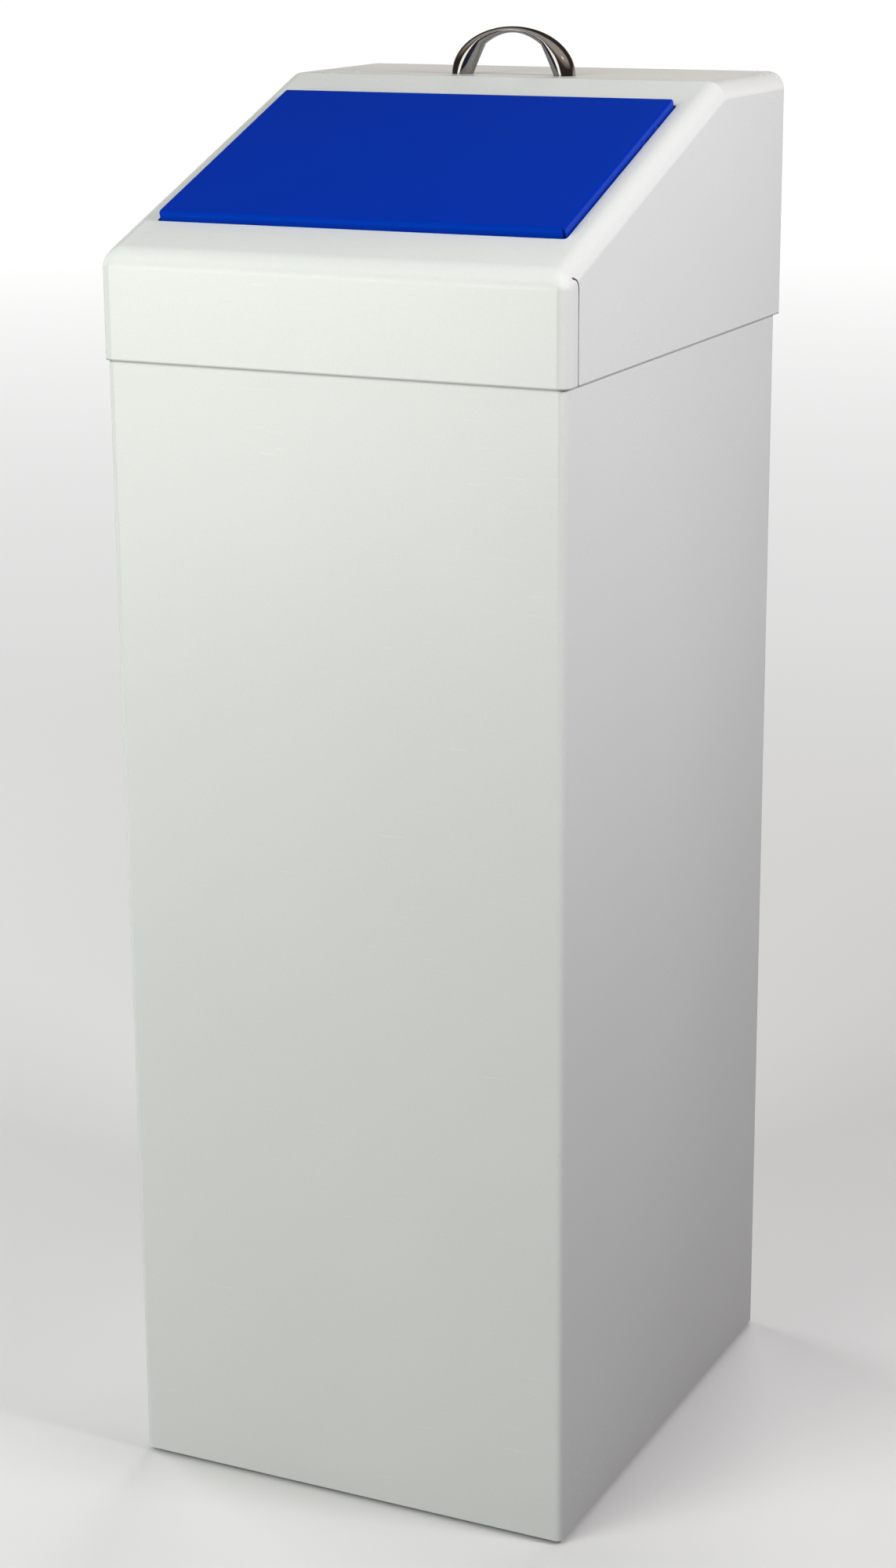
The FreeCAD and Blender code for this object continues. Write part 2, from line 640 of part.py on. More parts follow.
def seam_slit(side):
    """The slit behind the corner flange, turning forwards at its upper end."""
    body = new_body(f"seam_slit_{side_name(side)}")
    half = cell("( seam_gap / 2 )")
    turn = cell("seam_turn")
    line = f"( -{HOOD_Y} + " + cell("seam_setback )")
    top = f"( {SKIRT} + " + cell("seam_height )")
    start = (f"{line} - {half}", f"{SKIRT} - {SHEET}")
    end = (f"{line} + {half}", f"{top} + {half}")
    lift = f"{side} * {HOOD_X}"
    pad(body, rectangle(body, "YZ_Plane", start, end, lift), f"4 * {SHEET}", both_ways=True)
    hook_low = (f"{line} - {turn} - " + cell("running_gap"), f"{top} - {half}")
    hook_high = (f"{line} + {half}", f"{top} + {half}")
    pad(body, rectangle(body, "YZ_Plane", hook_low, hook_high, lift), f"4 * {SHEET}", both_ways=True)
    for sign in ("+", "-"):
        corner_y = number(f"{line} {sign} {half}")
        corner_z = number(f"{top} {sign} {half}")
        fillet(body, f"{turn} {sign} {half}",
               lambda edge: across(edge) and near(edge.CenterOfMass.y, corner_y)
               and near(edge.CenterOfMass.z, corner_z))
    return body


def handle_holes():
    """Pins that bore the handle's screw holes through the top."""
    body = new_body("handle_holes")
    centres = [(f"{side} * " + cell("handle_pitch / 2"), HANDLE_Y) for side in (-1, 1)]
    pad(body, circles(body, "XY_Plane", centres, cell("( rivet_diameter / 2 + screw_clearance )"),
                      cell("overall_height")), f"2 * {THROUGH}", both_ways=True)
    return body


def hood_shell():
    """Front, slope, top and sides of the hood in one folded sheet."""
    outer = hood_form("hood_outside", "0", "0", "0")
    inner = hood_form("hood_inside", SHEET, THROUGH, THROUGH)
    tools = [inner, slope_opening(), handle_holes()] + [seam_slit(side) for side in (-1, 1)]
    return cut("hood_shell", outer, *tools)


def hood_back():
    """Back panel inset in the shell, with flanges turned forwards."""
    body = new_body("hood_back")
    half = f"( {HOOD_X} - {SHEET} )"
    top = "( " + cell("overall_height") + f" - {SHEET} )"
    bend = cell("( hood_bend - sheet / 2 )")
    low = f"( {SKIRT} - 2 * {bend} )"
    plate = rounded(body, "XZ_Plane", (f"-{half}", low), (half, top), bend, f"-{HOOD_Y}")
    pad(body, plate, HEM)
    inside = f"( {SHEET} - {HOOD_Y} )"
    room = rounded(body, "XZ_Plane", (f"( {SHEET} - {half} )", low),
                   (f"( {half} - {SHEET} )", f"( {top} - {SHEET} )"), f"( {bend} - {SHEET} )", inside)
    pocket(body, room, f"{HEM} + {SHEET}", backwards=True)
    start = (f"-{HOOD_X}", f"( {low} - {SHEET} )")
    trim = rectangle(body, "XZ_Plane", start, (HOOD_X, SKIRT), f"-{HOOD_Y}")
    pocket(body, trim, f"2 * {HEM}", backwards=True)
    flange_foot = f"( {RIM} + {HEM} + " + cell("back_gap )")
    clear = rectangle(body, "XZ_Plane", start, (HOOD_X, flange_foot), inside)
    pocket(body, clear, f"2 * {HEM}", backwards=True)
    return body


def seat_rail(side):
    """Angle inside the hood's side; its level leg rests on the cabinet's rim."""
    body = new_body(f"seat_rail_{side_name(side)}")
    leg = cell("rail_leg")
    wall = f"( {HOOD_X} - {SHEET} )"
    corners = [(wall, RIM), (wall, f"{RIM} + {leg}"), (f"{wall} - {SHEET}", f"{RIM} + {leg}"),
               (f"{wall} - {SHEET}", f"{RIM} + {SHEET}"), (f"{wall} - {leg}", f"{RIM} + {SHEET}"),
               (f"{wall} - {leg}", RIM)]
    profile = outline(body, "XZ_Plane", [(f"{side} * ( {x} )", z) for x, z in corners])
    length = f"2 * ( {HOOD_Y} - {HEM} - " + cell("hood_corner )")
    pad(body, profile, length, both_ways=True)
    return body


def hinge_bracket(side):
    """Z-shaped bracket from the hood's side to the pivot, in line with the slope."""
    body = new_body(f"hinge_bracket_{side_name(side)}")
    thick = cell("bracket_sheet")
    wall = f"( {HOOD_X} - {SHEET} )"
    foot = f"( {PIVOT_W} - " + cell("bracket_reach )")
    step = f"( {PIVOT_W} - " + cell("bracket_reach / 3 )")
    top = f"( -{SHEET} - " + cell("bracket_gap )")
    corners = [(wall, foot), (wall, step), (f"{TAB_X} + {thick}", step), (f"{TAB_X} + {thick}", top),
               (TAB_X, top), (TAB_X, f"{step} - {thick}"), (f"{wall} - {thick}", f"{step} - {thick}"),
               (f"{wall} - {thick}", foot)]
    profile = outline(body, "XZ_Plane", [(f"{side} * ( {x} )", w) for x, w in corners], f"-{PIVOT_V}")
    pad(body, profile, cell("bracket_length"), both_ways=True)
    seat = f"( {BUSH_R} + " + cell("running_gap )")
    hole = circles(body, "YZ_Plane", [(PIVOT_V, PIVOT_W)], seat, f"{side} * {TAB_X}")
    pocket(body, hole, f"4 * {thick}", both_ways=True)
    corner_w = number(top)
    fillet(body, f"{BUSH_R}",
           lambda edge: across(edge) and near(edge.CenterOfMass.z, corner_w)
           and edge.Length < 2 * number(thick))
    put_on_slope(body)
    return body


def hinge_bush(side):
    """Flanged bush in the bracket; its flange faces the flap."""
    flange = cell("bush_flange")
    rim = f"( {BUSH_R} + " + cell("bush_rim )")
    end = f"( {flange} + 2 * " + cell("bracket_sheet )")
    profile = [(BORE_R, "0"), (rim, "0"), (rim, flange), (BUSH_R, flange), (BUSH_R, end), (BORE_R, end)]
    bush = turned(f"hinge_bush_{side_name(side)}", profile)
    return on_slope_across(bush, side, f"( {FLAP_X} + " + cell("bush_play )"), PIVOT_V, PIVOT_W)


BOW_X = cell("( handle_pitch / 2 )")
BOW_Z = cell("( handle_height - crown_height / 2 )")


def bow_line():
    """Centre line of the handle's bow: half an ellipse standing on the top."""
    line = doc.addObject("Part::Ellipse", "bow_line")
    line.setExpression("MajorRadius", BOW_X)
    line.setExpression("MinorRadius", BOW_Z)
    line.Angle1 = 0
    line.Angle2 = HALF_TURN
    line.Placement = FreeCAD.Placement(FreeCAD.Vector(), FreeCAD.Rotation(FreeCAD.Vector(1, 0, 0), 90))
    place(line, "0", HANDLE_Y, cell("overall_height"))
    return line


def bow_station(index):
    """One elliptical section of the bow, square to its centre line: stout feet, slender crown."""
    degrees = HALF_TURN * index / (BOW_STATIONS - 1)
    angle = f"( {degrees} deg )"
    level = f"abs( cos{angle} )"
    depth = cell("( crown_width / 2 + ( handle_foot - crown_width + 0.2 ) / 2 * ") + f"{level} ^ 2 )"
    share = f"( {level} + 0.000001 ) ^ 2.2 )"
    thick = cell("( crown_height / 2 + ( handle_foot - crown_height ) / 2 * ") + share
    ring = doc.addObject("Part::Ellipse", f"bow_station_{index}")
    run = -number(BOW_X) * math.sin(math.radians(degrees))
    rise = number(BOW_Z) * math.cos(math.radians(degrees))
    lean = FreeCAD.Rotation(FreeCAD.Vector(0, 1, 0), math.degrees(math.atan2(run, rise)))
    along_depth = FreeCAD.Rotation(FreeCAD.Vector(0, 0, 1), 90)
    ring.Placement = FreeCAD.Placement(FreeCAD.Vector(), lean.multiply(along_depth))
    ring.setExpression("MajorRadius", depth)
    ring.setExpression("MinorRadius", thick)
    place(ring, f"{BOW_X} * cos{angle}", HANDLE_Y, cell("overall_height + ") + f"{BOW_Z} * sin{angle}")
    return ring


def handle():
    """Bow handle: one arch with stout feet, bored for its screws."""
    line = bow_line()
    bow = doc.addObject("Part::Sweep", "bow")
    bow.Sections = [bow_station(index) for index in range(BOW_STATIONS)]
    doc.recompute()
    bow.Spine = (line, ["Edge1"])
    bow.Solid = True
    bow.Frenet = False
    bores = new_body("handle_bores")
    centres = [(f"{side} * {BOW_X}", HANDLE_Y) for side in (-1, 1)]
    radius = cell("( rivet_diameter / 2 + running_gap )")
    low = cell("( overall_height - sheet )")
    pad(bores, circles(bores, "XY_Plane", centres, radius, low), cell("handle_screw"))
    return cut("handle", bow, bores)


def handle_fasteners():
    """Screws and washers under the top, one pair for each foot of the handle."""
    radius = cell("( rivet_diameter / 2 )")
    under = cell("( overall_height - sheet )")
    washer = cell("bin_wall")
    screws = []
    washers = []
    for side in (-1, 1):
        x = f"{side} * " + cell("handle_pitch / 2")
        screw = turned(f"handle_screw_{side_name(side)}", screw_profile(radius, cell("handle_screw")))
        place(screw, x, HANDLE_Y, f"{under} - {washer}")
        screws.append(screw)
        bore = f"( {radius} + " + cell("screw_clearance )")
        ring = [(bore, "0"), (f"{radius} * 2.4", "0"), (f"{radius} * 2.4", washer), (bore, washer)]
        disc = turned(f"handle_washer_{side_name(side)}", ring)
        place(disc, x, HANDLE_Y, f"{under} - {washer}")
        washers.append(disc)
    group("handle_screws", screws)
    group("handle_washers", washers)


# ---------------------------------------------------------------- flap

RIVET_V = f"( {PIVOT_V} - " + cell("arm_width )")
RIVET_W = cell("( flap_proud - sheet - flap_depth / 2 )")
BUFFER_X = f"( {FLAP_X} * 2 / 3 )"


def flap_panel():
    """Push flap: a shallow pan with a stop lip in front and an ear for the rod at each side."""
    body = new_body("flap_panel")
    low = (f"-{FLAP_X}", FLAP_FRONT)
    high = (FLAP_X, FLAP_REAR)
    pad(body, rectangle(body, "XY_Plane", low, high, FLAP_EDGE), cell("flap_depth"))
    top_w = number(FLAP_TOP)
    fillet(body, cell("flap_bend"), lambda edge: across(edge) and near(edge.CenterOfMass.z, top_w))
    fillet(body, cell("flap_side_bend"),
           lambda edge: not across(edge) and near(edge.CenterOfMass.z, top_w))
    room_low = (f"-{FLAP_X} + {SHEET}", f"{FLAP_FRONT} + {SHEET}")
    room_high = (f"{FLAP_X} - {SHEET}", f"{FLAP_REAR} - {SHEET}")
    pocket(body, rectangle(body, "XY_Plane", room_low, room_high, FLAP_EDGE),
           cell("( flap_depth - sheet )"), backwards=True)
    inner_w = top_w - number(SHEET)
    fillet(body, cell("( flap_bend - sheet )"),
           lambda edge: across(edge) and near(edge.CenterOfMass.z, inner_w))
    notch_corners(body)
    lip_x = f"( {FLAP_X} - 2 * " + cell("flap_side / 3 )")
    lip_low = (f"-{lip_x}", f"{FLAP_FRONT} - " + cell("stop_lip"))
    pad(body, rectangle(body, "XY_Plane", lip_low, (lip_x, f"{FLAP_FRONT} + {SHEET}"), FLAP_EDGE), SHEET)
    for side in (-1, 1):
        ear(body, side)
    buffer_v = f"( {FLAP_FRONT} - " + cell("stop_lip / 2 )")
    centres = [(f"{side} * {BUFFER_X}", buffer_v) for side in (-1, 1)]
    stem_hole = cell("( buffer_stem + 2 * running_gap )")
    holes = circles(body, "XY_Plane", centres, stem_hole, FLAP_EDGE)
    pocket(body, holes, f"2 * {SHEET}", both_ways=True)
    for centre_v, centre_w, radius in ((PIVOT_V, PIVOT_W, f"( {ROD_R} + " + cell("running_gap )")),
                                       (RIVET_V, RIVET_W, cell("( rivet_diameter / 2 + running_gap )"))):
        centres = [(centre_v, centre_w)]
        if centre_v == RIVET_V:
            centres.append((f"{RIVET_V} - " + cell("rivet_pitch"), RIVET_W))
        pocket(body, circles(body, "YZ_Plane", centres, radius), f"4 * {FLAP_X}", both_ways=True)
    put_on_slope(body)
    return body


def notch_corners(body):
    """Relief notches where two bent edges of the flap meet."""
    notch = cell("flap_notch")
    rows = ((FLAP_FRONT, f"{FLAP_FRONT} + {notch}"), (f"{FLAP_REAR} - {notch}", FLAP_REAR))
    columns = ((f"-{FLAP_X}", f"{notch} - {FLAP_X}"), (f"{FLAP_X} - {notch}", FLAP_X))
    for start, end in rows:
        for left, right in columns:
            corner = rectangle(body, "XY_Plane", (left, start), (right, end), FLAP_TOP)
            pocket(body, corner, cell("flap_depth"))


def ear(body, side):
    """The lobe of a side edge that carries the pivot rod."""
    reach = cell("( arm_width / 2 )")
    root = f"{FLAP_EDGE} + {SHEET}"
    tip = f"{PIVOT_W} - {reach}"
    corners = [(f"{PIVOT_V} - 2 * {reach}", root), (f"{PIVOT_V} - {reach}", tip),
               (f"{PIVOT_V} + {reach}", tip), (f"{PIVOT_V} + {reach}", root)]
    middle = f"{side} * ( {FLAP_X} - {SHEET} / 2 )"
    pad(body, outline(body, "YZ_Plane", corners, middle), SHEET, both_ways=True)
    low_w = number(tip)
    fillet(body, f"{reach} * 0.7",
           lambda edge: across(edge) and near(edge.CenterOfMass.z, low_w)
           and side * edge.CenterOfMass.x > 0)


def flap_rod():
    """Pivot rod from bracket to bracket."""
    half = f"( {TAB_X} + 3 * " + cell("bracket_sheet + 2 * sheet )")
    profile = [("0", f"-{half}"), (f"{ROD_R} - {BREAK}", f"-{half}"), (ROD_R, f"-{half} + {BREAK}"),
               (ROD_R, f"{half} - {BREAK}"), (f"{ROD_R} - {BREAK}", half), ("0", half)]
    return on_slope_across(turned("flap_rod", profile), 1, "0", PIVOT_V, PIVOT_W)


def rod_clips():
    """Push-on clips outside the bushes."""
    start = f"( {TAB_X} + 2 * " + cell("bracket_sheet + bush_play )")
    rim = f"( {ROD_R} + " + cell("clip_rim )")
    height = cell("clip_height")
    crown = f"( {ROD_R} + " + cell("clip_rim * 5 / 12 )")
    profile = [(ROD_R, "0"), (rim, "0"), (rim, f"{height} * 3 / 7"), (crown, height), (ROD_R, height)]
    clips = []
    for side in (-1, 1):
        clip = turned(f"rod_clip_{side_name(side)}", profile)
        clips.append(on_slope_across(clip, side, start, PIVOT_V, PIVOT_W))
    return group("rod_clips", clips)


def balance_arm(side):
    """Steel arm riveted inside the flap's side edge; it carries the balance bar."""
    body = new_body(f"balance_arm_{side_name(side)}")
    half = cell("( arm_width / 2 )")
    along = (ARM_COS, f"-{ARM_SIN}")
    square = (ARM_SIN, ARM_COS)
    tip = cell("( arm_reach + arm_width / 2 )")

    def point(out, aside):
        return (f"{PIVOT_V} + {out} * {along[0]} + {aside} * {square[0]}",
                f"{PIVOT_W} + {out} * {along[1]} + {aside} * {square[1]}")

    leg_end = f"{RIVET_V} - " + cell("rivet_pitch - arm_width / 3")
    leg_top = f"( {FLAP_TOP} - " + cell("flap_bend )")
    leg_low = f"{FLAP_EDGE} + {SHEET} / 2"
    corners = [point(tip, f"-{half}"), point(tip, half), point("0", half),
               (f"{PIVOT_V} + {half}", leg_top), (leg_end, leg_top), (leg_end, leg_low),
               (f"{PIVOT_V} - {half} * 1.6", leg_low), point(half, f"-{half}")]
    middle = f"{side} * ( {ARM_X} + " + cell("arm_sheet / 2 )")
    pad(body, outline(body, "YZ_Plane", corners, middle), cell("arm_sheet"), both_ways=True)
    far = number(f"{PIVOT_W} - ( {tip} - {half} / 2 ) * {ARM_SIN}")
    fillet(body, f"{half} * 0.9",
           lambda edge: edge.CenterOfMass.z < far and across(edge))
    rivets = [(RIVET_V, RIVET_W), (f"{RIVET_V} - " + cell("rivet_pitch"), RIVET_W)]
    groups = (([(PIVOT_V, PIVOT_W)], BORE_R), (rivets, cell("( rivet_diameter / 2 + running_gap )")),
              ([(BAR_V, BAR_W)], SCREW_BORE))
    for centres, radius in groups:
        bores = circles(body, "YZ_Plane", centres, radius, middle)
        pocket(body, bores, cell("2 * arm_sheet"), both_ways=True)
    put_on_slope(body)
    return body


def arm_rivets():
    """Rivets that hold the balance arms to the flap's side edges."""
    radius = cell("( rivet_diameter / 2 )")
    inside = f"( {ARM_X} )"
    grip = cell("( arm_sheet + sheet )")
    dome = cell("( bush_play * 0.8 )")
    tail = cell("( rivet_diameter / 4 )")
    rim = f"( {radius} * 1.7 )"
    profile = [("0", f"-{tail}"), (rim, f"-{tail}"), (rim, "0"), (radius, "0"), (radius, grip),
               (rim, grip), (f"{rim} * 0.8", f"{grip} + {dome}"), ("0", f"{grip} + {dome}")]
    rivets = []
    for side in (-1, 1):
        for index in (0, 1):
            rivet = turned(f"arm_rivet_{side_name(side)}_{index}", profile)
            place_v = f"( {RIVET_V} - {index} * " + cell("rivet_pitch )")
            rivets.append(on_slope_across(rivet, side, inside, place_v, RIVET_W))
    return group("arm_rivets", rivets)


def balance_bar():
    """Solid bar whose weight shuts the flap, tapped at both ends."""
    radius = cell("( bar_diameter / 2 )")
    bore = cell("( screw_diameter / 2 + running_gap )")
    bottom = f"( {ARM_X} - " + cell("bar_screw )")
    face = f"( {radius} - 2 * {BREAK} )"
    shoulder = f"( {ARM_X} - 2 * {BREAK} )"
    profile = [("0", f"-{bottom}"), (bore, f"-{bottom}"), (bore, f"-{ARM_X}"), (face, f"-{ARM_X}"),
               (radius, f"-{shoulder}"), (radius, shoulder), (face, ARM_X), (bore, ARM_X),
               (bore, bottom), ("0", bottom)]
    return on_slope_across(turned("balance_bar", profile), 1, "0", BAR_V, BAR_W)


def balance_bar_screws():
    """One screw through each arm into the bar's end."""
    screws = []
    for side in (-1, 1):
        profile = screw_profile(SCREW_R, cell("bar_screw"))
        screw = turned(f"balance_bar_screw_{side_name(side)}", profile)
        start = f"( {ARM_X} + " + cell("arm_sheet )")
        screws.append(on_slope_across(screw, -side, f"-1 * {start}", BAR_V, BAR_W))
    return group("balance_bar_screws", screws)


def stop_buffer(side):
    """Rubber buffer pressed into the flap's lip; it meets the slope's underside."""
    height = cell("( 0 - sheet - stop_play )") + f" - ( {FLAP_EDGE} + {SHEET} )"
    stem = cell("buffer_stem")
    head = cell("buffer_head")
    tip = f"( -{SHEET} - {stem} )"
    barb = f"( -{SHEET} - {BREAK} )"
    profile = [("0", tip), (stem, tip), (f"{stem} * 1.6", barb), (stem, f"-{SHEET}"), (stem, "0"),
               (head, "0"), (head, f"{height} - {BREAK}"), (f"{head} - {BREAK}", height), ("0", height)]
    buffer = turned(f"stop_buffer_{side_name(side)}", profile)
    v = f"( {FLAP_FRONT} - " + cell("stop_lip / 2 )")
    w = f"( {FLAP_EDGE} + {SHEET} )"
    tilt = FreeCAD.Rotation(FreeCAD.Vector(1, 0, 0), 1)
    buffer.Placement = FreeCAD.Placement(FreeCAD.Vector(), tilt)
    y = f"-{HOOD_Y} + {v} * cos({SLOPE_ANGLE}) - {w} * sin({SLOPE_ANGLE})"
    z = f"{FRONT_EDGE} + {v} * sin({SLOPE_ANGLE}) + {w} * cos({SLOPE_ANGLE})"
    place(buffer, f"{side} * {BUFFER_X}", y, z)
    buffer.setExpression("Placement.Rotation.Angle", SLOPE_ANGLE)
    return buffer


# ---------------------------------------------------------------- build and write

PARTS = (
    "cabinet_wrap", "cabinet_back", "base_pan", "foot_front_left", "foot_front_right", "foot_rear_left",
    "foot_rear_right", "foot_screws", "foot_nuts", "bin_wrap", "bin_floor", "grip_trim_left",
    "grip_trim_right", "hood_shell", "hood_back", "seat_rail_left", "seat_rail_right",
    "hinge_bracket_left", "hinge_bracket_right", "hinge_bush_left", "hinge_bush_right", "handle",
    "handle_screws", "handle_washers", "flap_panel", "flap_rod", "rod_clips", "balance_arm_left",
    "balance_arm_right", "arm_rivets", "balance_bar", "balance_bar_screws", "stop_buffer_left",
    "stop_buffer_right",
)


def build():
    """Make every sub-part."""
    for piece in (cabinet_wrap, cabinet_back, base_pan, feet, foot_fasteners, bin_wrap, bin_floor,
                  hood_shell, hood_back, handle, handle_fasteners, flap_panel, flap_rod, rod_clips,
                  arm_rivets, balance_bar, balance_bar_screws):
        piece()
    for piece in (grip_trim, seat_rail, hinge_bracket, hinge_bush, balance_arm, stop_buffer):
        for side in (-1, 1):
            piece(side)
    doc.recompute()


def check():
    """Stop if any object failed or any sub-part isn't a sound solid."""
    for item in doc.Objects:
        if "Invalid" in item.State or "Error" in item.State:
            raise RuntimeError(f"{item.Label} failed: {item.State}")
    for name in PARTS:
        shape = doc.getObjectsByLabel(name)[0].Shape
        if shape.isNull() or not shape.isValid() or not shape.Solids:
            raise RuntimeError(f"{name} isn't a valid solid")


def write():
    """Write one STEP file for each sub-part."""
    os.makedirs("parts", exist_ok=True)
    for name in PARTS:
        doc.getObjectsByLabel(name)[0].Shape.exportStep(f"parts/{name}.step")


build()
check()
write()
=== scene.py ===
"""Looks of a free-standing drop box: coated sheets, a chrome bow handle and a galvanised inner bin."""
import json
import math

import bmesh
import bpy
from bpy.props import FloatProperty, FloatVectorProperty, IntProperty, PointerProperty
from mathutils import Matrix, Vector


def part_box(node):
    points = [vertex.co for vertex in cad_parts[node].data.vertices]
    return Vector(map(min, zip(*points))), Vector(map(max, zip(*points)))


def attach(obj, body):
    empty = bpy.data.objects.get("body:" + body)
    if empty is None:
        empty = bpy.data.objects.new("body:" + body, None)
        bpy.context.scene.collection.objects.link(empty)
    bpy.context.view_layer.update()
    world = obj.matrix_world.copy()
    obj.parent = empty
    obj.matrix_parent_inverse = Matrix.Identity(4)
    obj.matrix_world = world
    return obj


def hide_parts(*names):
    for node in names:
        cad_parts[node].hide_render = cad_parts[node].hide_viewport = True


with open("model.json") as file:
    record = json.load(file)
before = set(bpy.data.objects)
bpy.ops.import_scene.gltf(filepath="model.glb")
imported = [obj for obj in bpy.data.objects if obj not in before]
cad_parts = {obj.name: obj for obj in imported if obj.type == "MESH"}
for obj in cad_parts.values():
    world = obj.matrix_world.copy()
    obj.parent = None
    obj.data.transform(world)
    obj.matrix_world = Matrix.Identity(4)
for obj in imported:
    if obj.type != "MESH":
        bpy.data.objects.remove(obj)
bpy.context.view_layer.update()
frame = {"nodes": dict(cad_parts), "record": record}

bl_info = {
    "name": "Drop box looks",
    "version": (1, 0, 0),
    "blender": (4, 5, 0),
    "location": "View3D > Sidebar > Drop box",
    "description": "Finishes, small pieces, light and camera of a sheet-steel drop box",
    "category": "Object",
}

MM = 0.001
HANDLE_LOW, HANDLE_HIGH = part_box("handle")
HEM_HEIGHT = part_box("hood_shell")[0][2]
WRAP_LOW, WRAP_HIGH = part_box("cabinet_wrap")
BAR_SCREW_LOW, BAR_SCREW_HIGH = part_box("balance_bar_screws")
SIDES = (-1, 1)
FULL_TURN = 2 * math.pi
WHITE = (1.0, 1.0, 1.0, 1.0)


# ------------------------------------------------------------------ sizes and colours


class CoatSettings(bpy.types.PropertyGroup):
    """Colours and grain of the powder coat."""

    white: FloatVectorProperty(
        name="White", description="Colour of the cabinet and the hood", subtype="COLOR", size=3,
        min=0, max=1, default=(0.80, 0.82, 0.81))
    blue: FloatVectorProperty(
        name="Blue", description="Colour of the push flap", subtype="COLOR", size=3,
        min=0, max=1, default=(0.0, 0.030, 0.40))
    peel_size: FloatProperty(
        name="Orange peel", description="Distance between two bumps of the coat", unit="LENGTH",
        min=0.0005, max=0.01, default=2.0 * MM)
    peel_height: FloatProperty(
        name="Peel height", description="Height of the coat's bumps", unit="LENGTH",
        min=0, max=0.0005, default=0.012 * MM)


class HandleSettings(bpy.types.PropertyGroup):
    """Shape of the bow handle."""

    crown_depth: FloatProperty(
        name="Crown depth", description="Depth of the bow at its crown", unit="LENGTH",
        min=0.003, max=0.02, default=6.2 * MM)
    crown_height: FloatProperty(
        name="Crown thickness", description="Thickness of the bow at its crown", unit="LENGTH",
        min=0.001, max=0.01, default=3.5 * MM)
    foot: FloatProperty(
        name="Foot", description="Diameter of each foot", unit="LENGTH",
        min=0.006, max=0.03, default=12.6 * MM)
    stations: IntProperty(
        name="Stations", description="Sections along the bow", min=12, max=200, default=72)


class WeldSettings(bpy.types.PropertyGroup):
    """Spot welds of the back panels."""

    pitch: FloatProperty(
        name="Pitch", description="Distance between two spot welds", unit="LENGTH",
        min=0.01, max=0.3, default=52 * MM)
    radius: FloatProperty(
        name="Radius", description="Radius of a spot weld's dimple", unit="LENGTH",
        min=0.001, max=0.01, default=2.8 * MM)
    height: FloatProperty(
        name="Height", description="Height of a dimple's ring", unit="LENGTH",
        min=0.0001, max=0.002, default=0.25 * MM)


class StudioSettings(bpy.types.PropertyGroup):
    """Light and camera."""

    sky: FloatProperty(
        name="Surround", description="Brightness of the surround", min=0, max=5, default=0.03)
    lens: FloatProperty(
        name="Lens", description="Focal length", subtype="DISTANCE_CAMERA", min=10, max=300, default=71.3)


# ------------------------------------------------------------------ node helpers


def add(tree, kind, inputs=None, **settings):
    """Add a node with its settings; an input is a value, or a socket to link."""
    made = tree.nodes.new(kind)
    for name, value in settings.items():
        setattr(made, name, value)
    for name, value in (inputs or {}).items():
        socket = made.inputs[name]
        if isinstance(value, bpy.types.NodeSocket):
            tree.links.new(value, socket)
        else:
            socket.default_value = value
    return made


def new_group(name, kind, inputs, outputs):
    """An empty node group with its sockets, its input node and its output node."""
    tree = bpy.data.node_groups.new(name, kind)
    for label, socket_type, value in inputs:
        socket = tree.interface.new_socket(name=label, in_out="INPUT", socket_type=socket_type)
        if value is not None:
            socket.default_value = value
    for label, socket_type in outputs:
        tree.interface.new_socket(name=label, in_out="OUTPUT", socket_type=socket_type)
    return tree, tree.nodes.new("NodeGroupInput"), tree.nodes.new("NodeGroupOutput")


def share(tree, value, low, high, out_low, out_high):
    """Map a value from one range to another and clamp it."""
    made = add(tree, "ShaderNodeMapRange", {
        "Value": value, "From Min": low, "From Max": high, "To Min": out_low, "To Max": out_high})
    return made.outputs["Result"]


def times(tree, first, second):
    """Product of two values."""
    return add(tree, "ShaderNodeMath", {0: first, 1: second}, operation="MULTIPLY").outputs[0]


def plus(tree, first, second):
    """Sum of two values."""
    return add(tree, "ShaderNodeMath", {0: first, 1: second}, operation="ADD").outputs[0]


def per_metre(tree, size):
    """How many features of a size fit in a metre."""
    return add(tree, "ShaderNodeMath", {0: 1.0, 1: size}, operation="DIVIDE").outputs[0]


def blend_colours(tree, mask, first, second):
    """Mix two colours by a mask."""
    made = add(tree, "ShaderNodeMix", {"Factor": mask}, data_type="RGBA")
    for socket, value in ((made.inputs[6], first), (made.inputs[7], second)):
        if isinstance(value, bpy.types.NodeSocket):
            tree.links.new(value, socket)
        else:
            socket.default_value = value
    return made.outputs[2]


def noise(tree, place, scale, detail=2.0, roughness=0.5):
    """Noise value at a place; the scale is in features a metre."""
    made = add(tree, "ShaderNodeTexNoise", {
        "Vector": place, "Scale": scale, "Detail": detail, "Roughness": roughness})
    return made.outputs["Fac"]


# ------------------------------------------------------------------ shared effects


def edge_wear_group():
    """Mask of worn edges: where a rounded normal leaves the true one, broken up by noise."""
    tree, given, result = new_group(
        "Worn edges", "ShaderNodeTree",
        [("Radius", "NodeSocketFloat", 0.8 * MM), ("Amount", "NodeSocketFloat", 1.0)],
        [("Mask", "NodeSocketFloat")])
    place = add(tree, "ShaderNodeTexCoord").outputs["Object"]
    round_normal = add(tree, "ShaderNodeBevel", {"Radius": given.outputs["Radius"]}, samples=4)
    true_normal = add(tree, "ShaderNodeNewGeometry")
    match = add(tree, "ShaderNodeVectorMath", {
        0: round_normal.outputs["Normal"], 1: true_normal.outputs["Normal"]}, operation="DOT_PRODUCT")
    edge = share(tree, match.outputs["Value"], 0.97, 0.75, 0.0, 1.0)
    broken = share(tree, noise(tree, place, 90, 4), 0.45, 0.62, 0.0, 1.0)
    mask = times(tree, times(tree, edge, broken), given.outputs["Amount"])
    tree.links.new(mask, result.inputs["Mask"])
    return tree


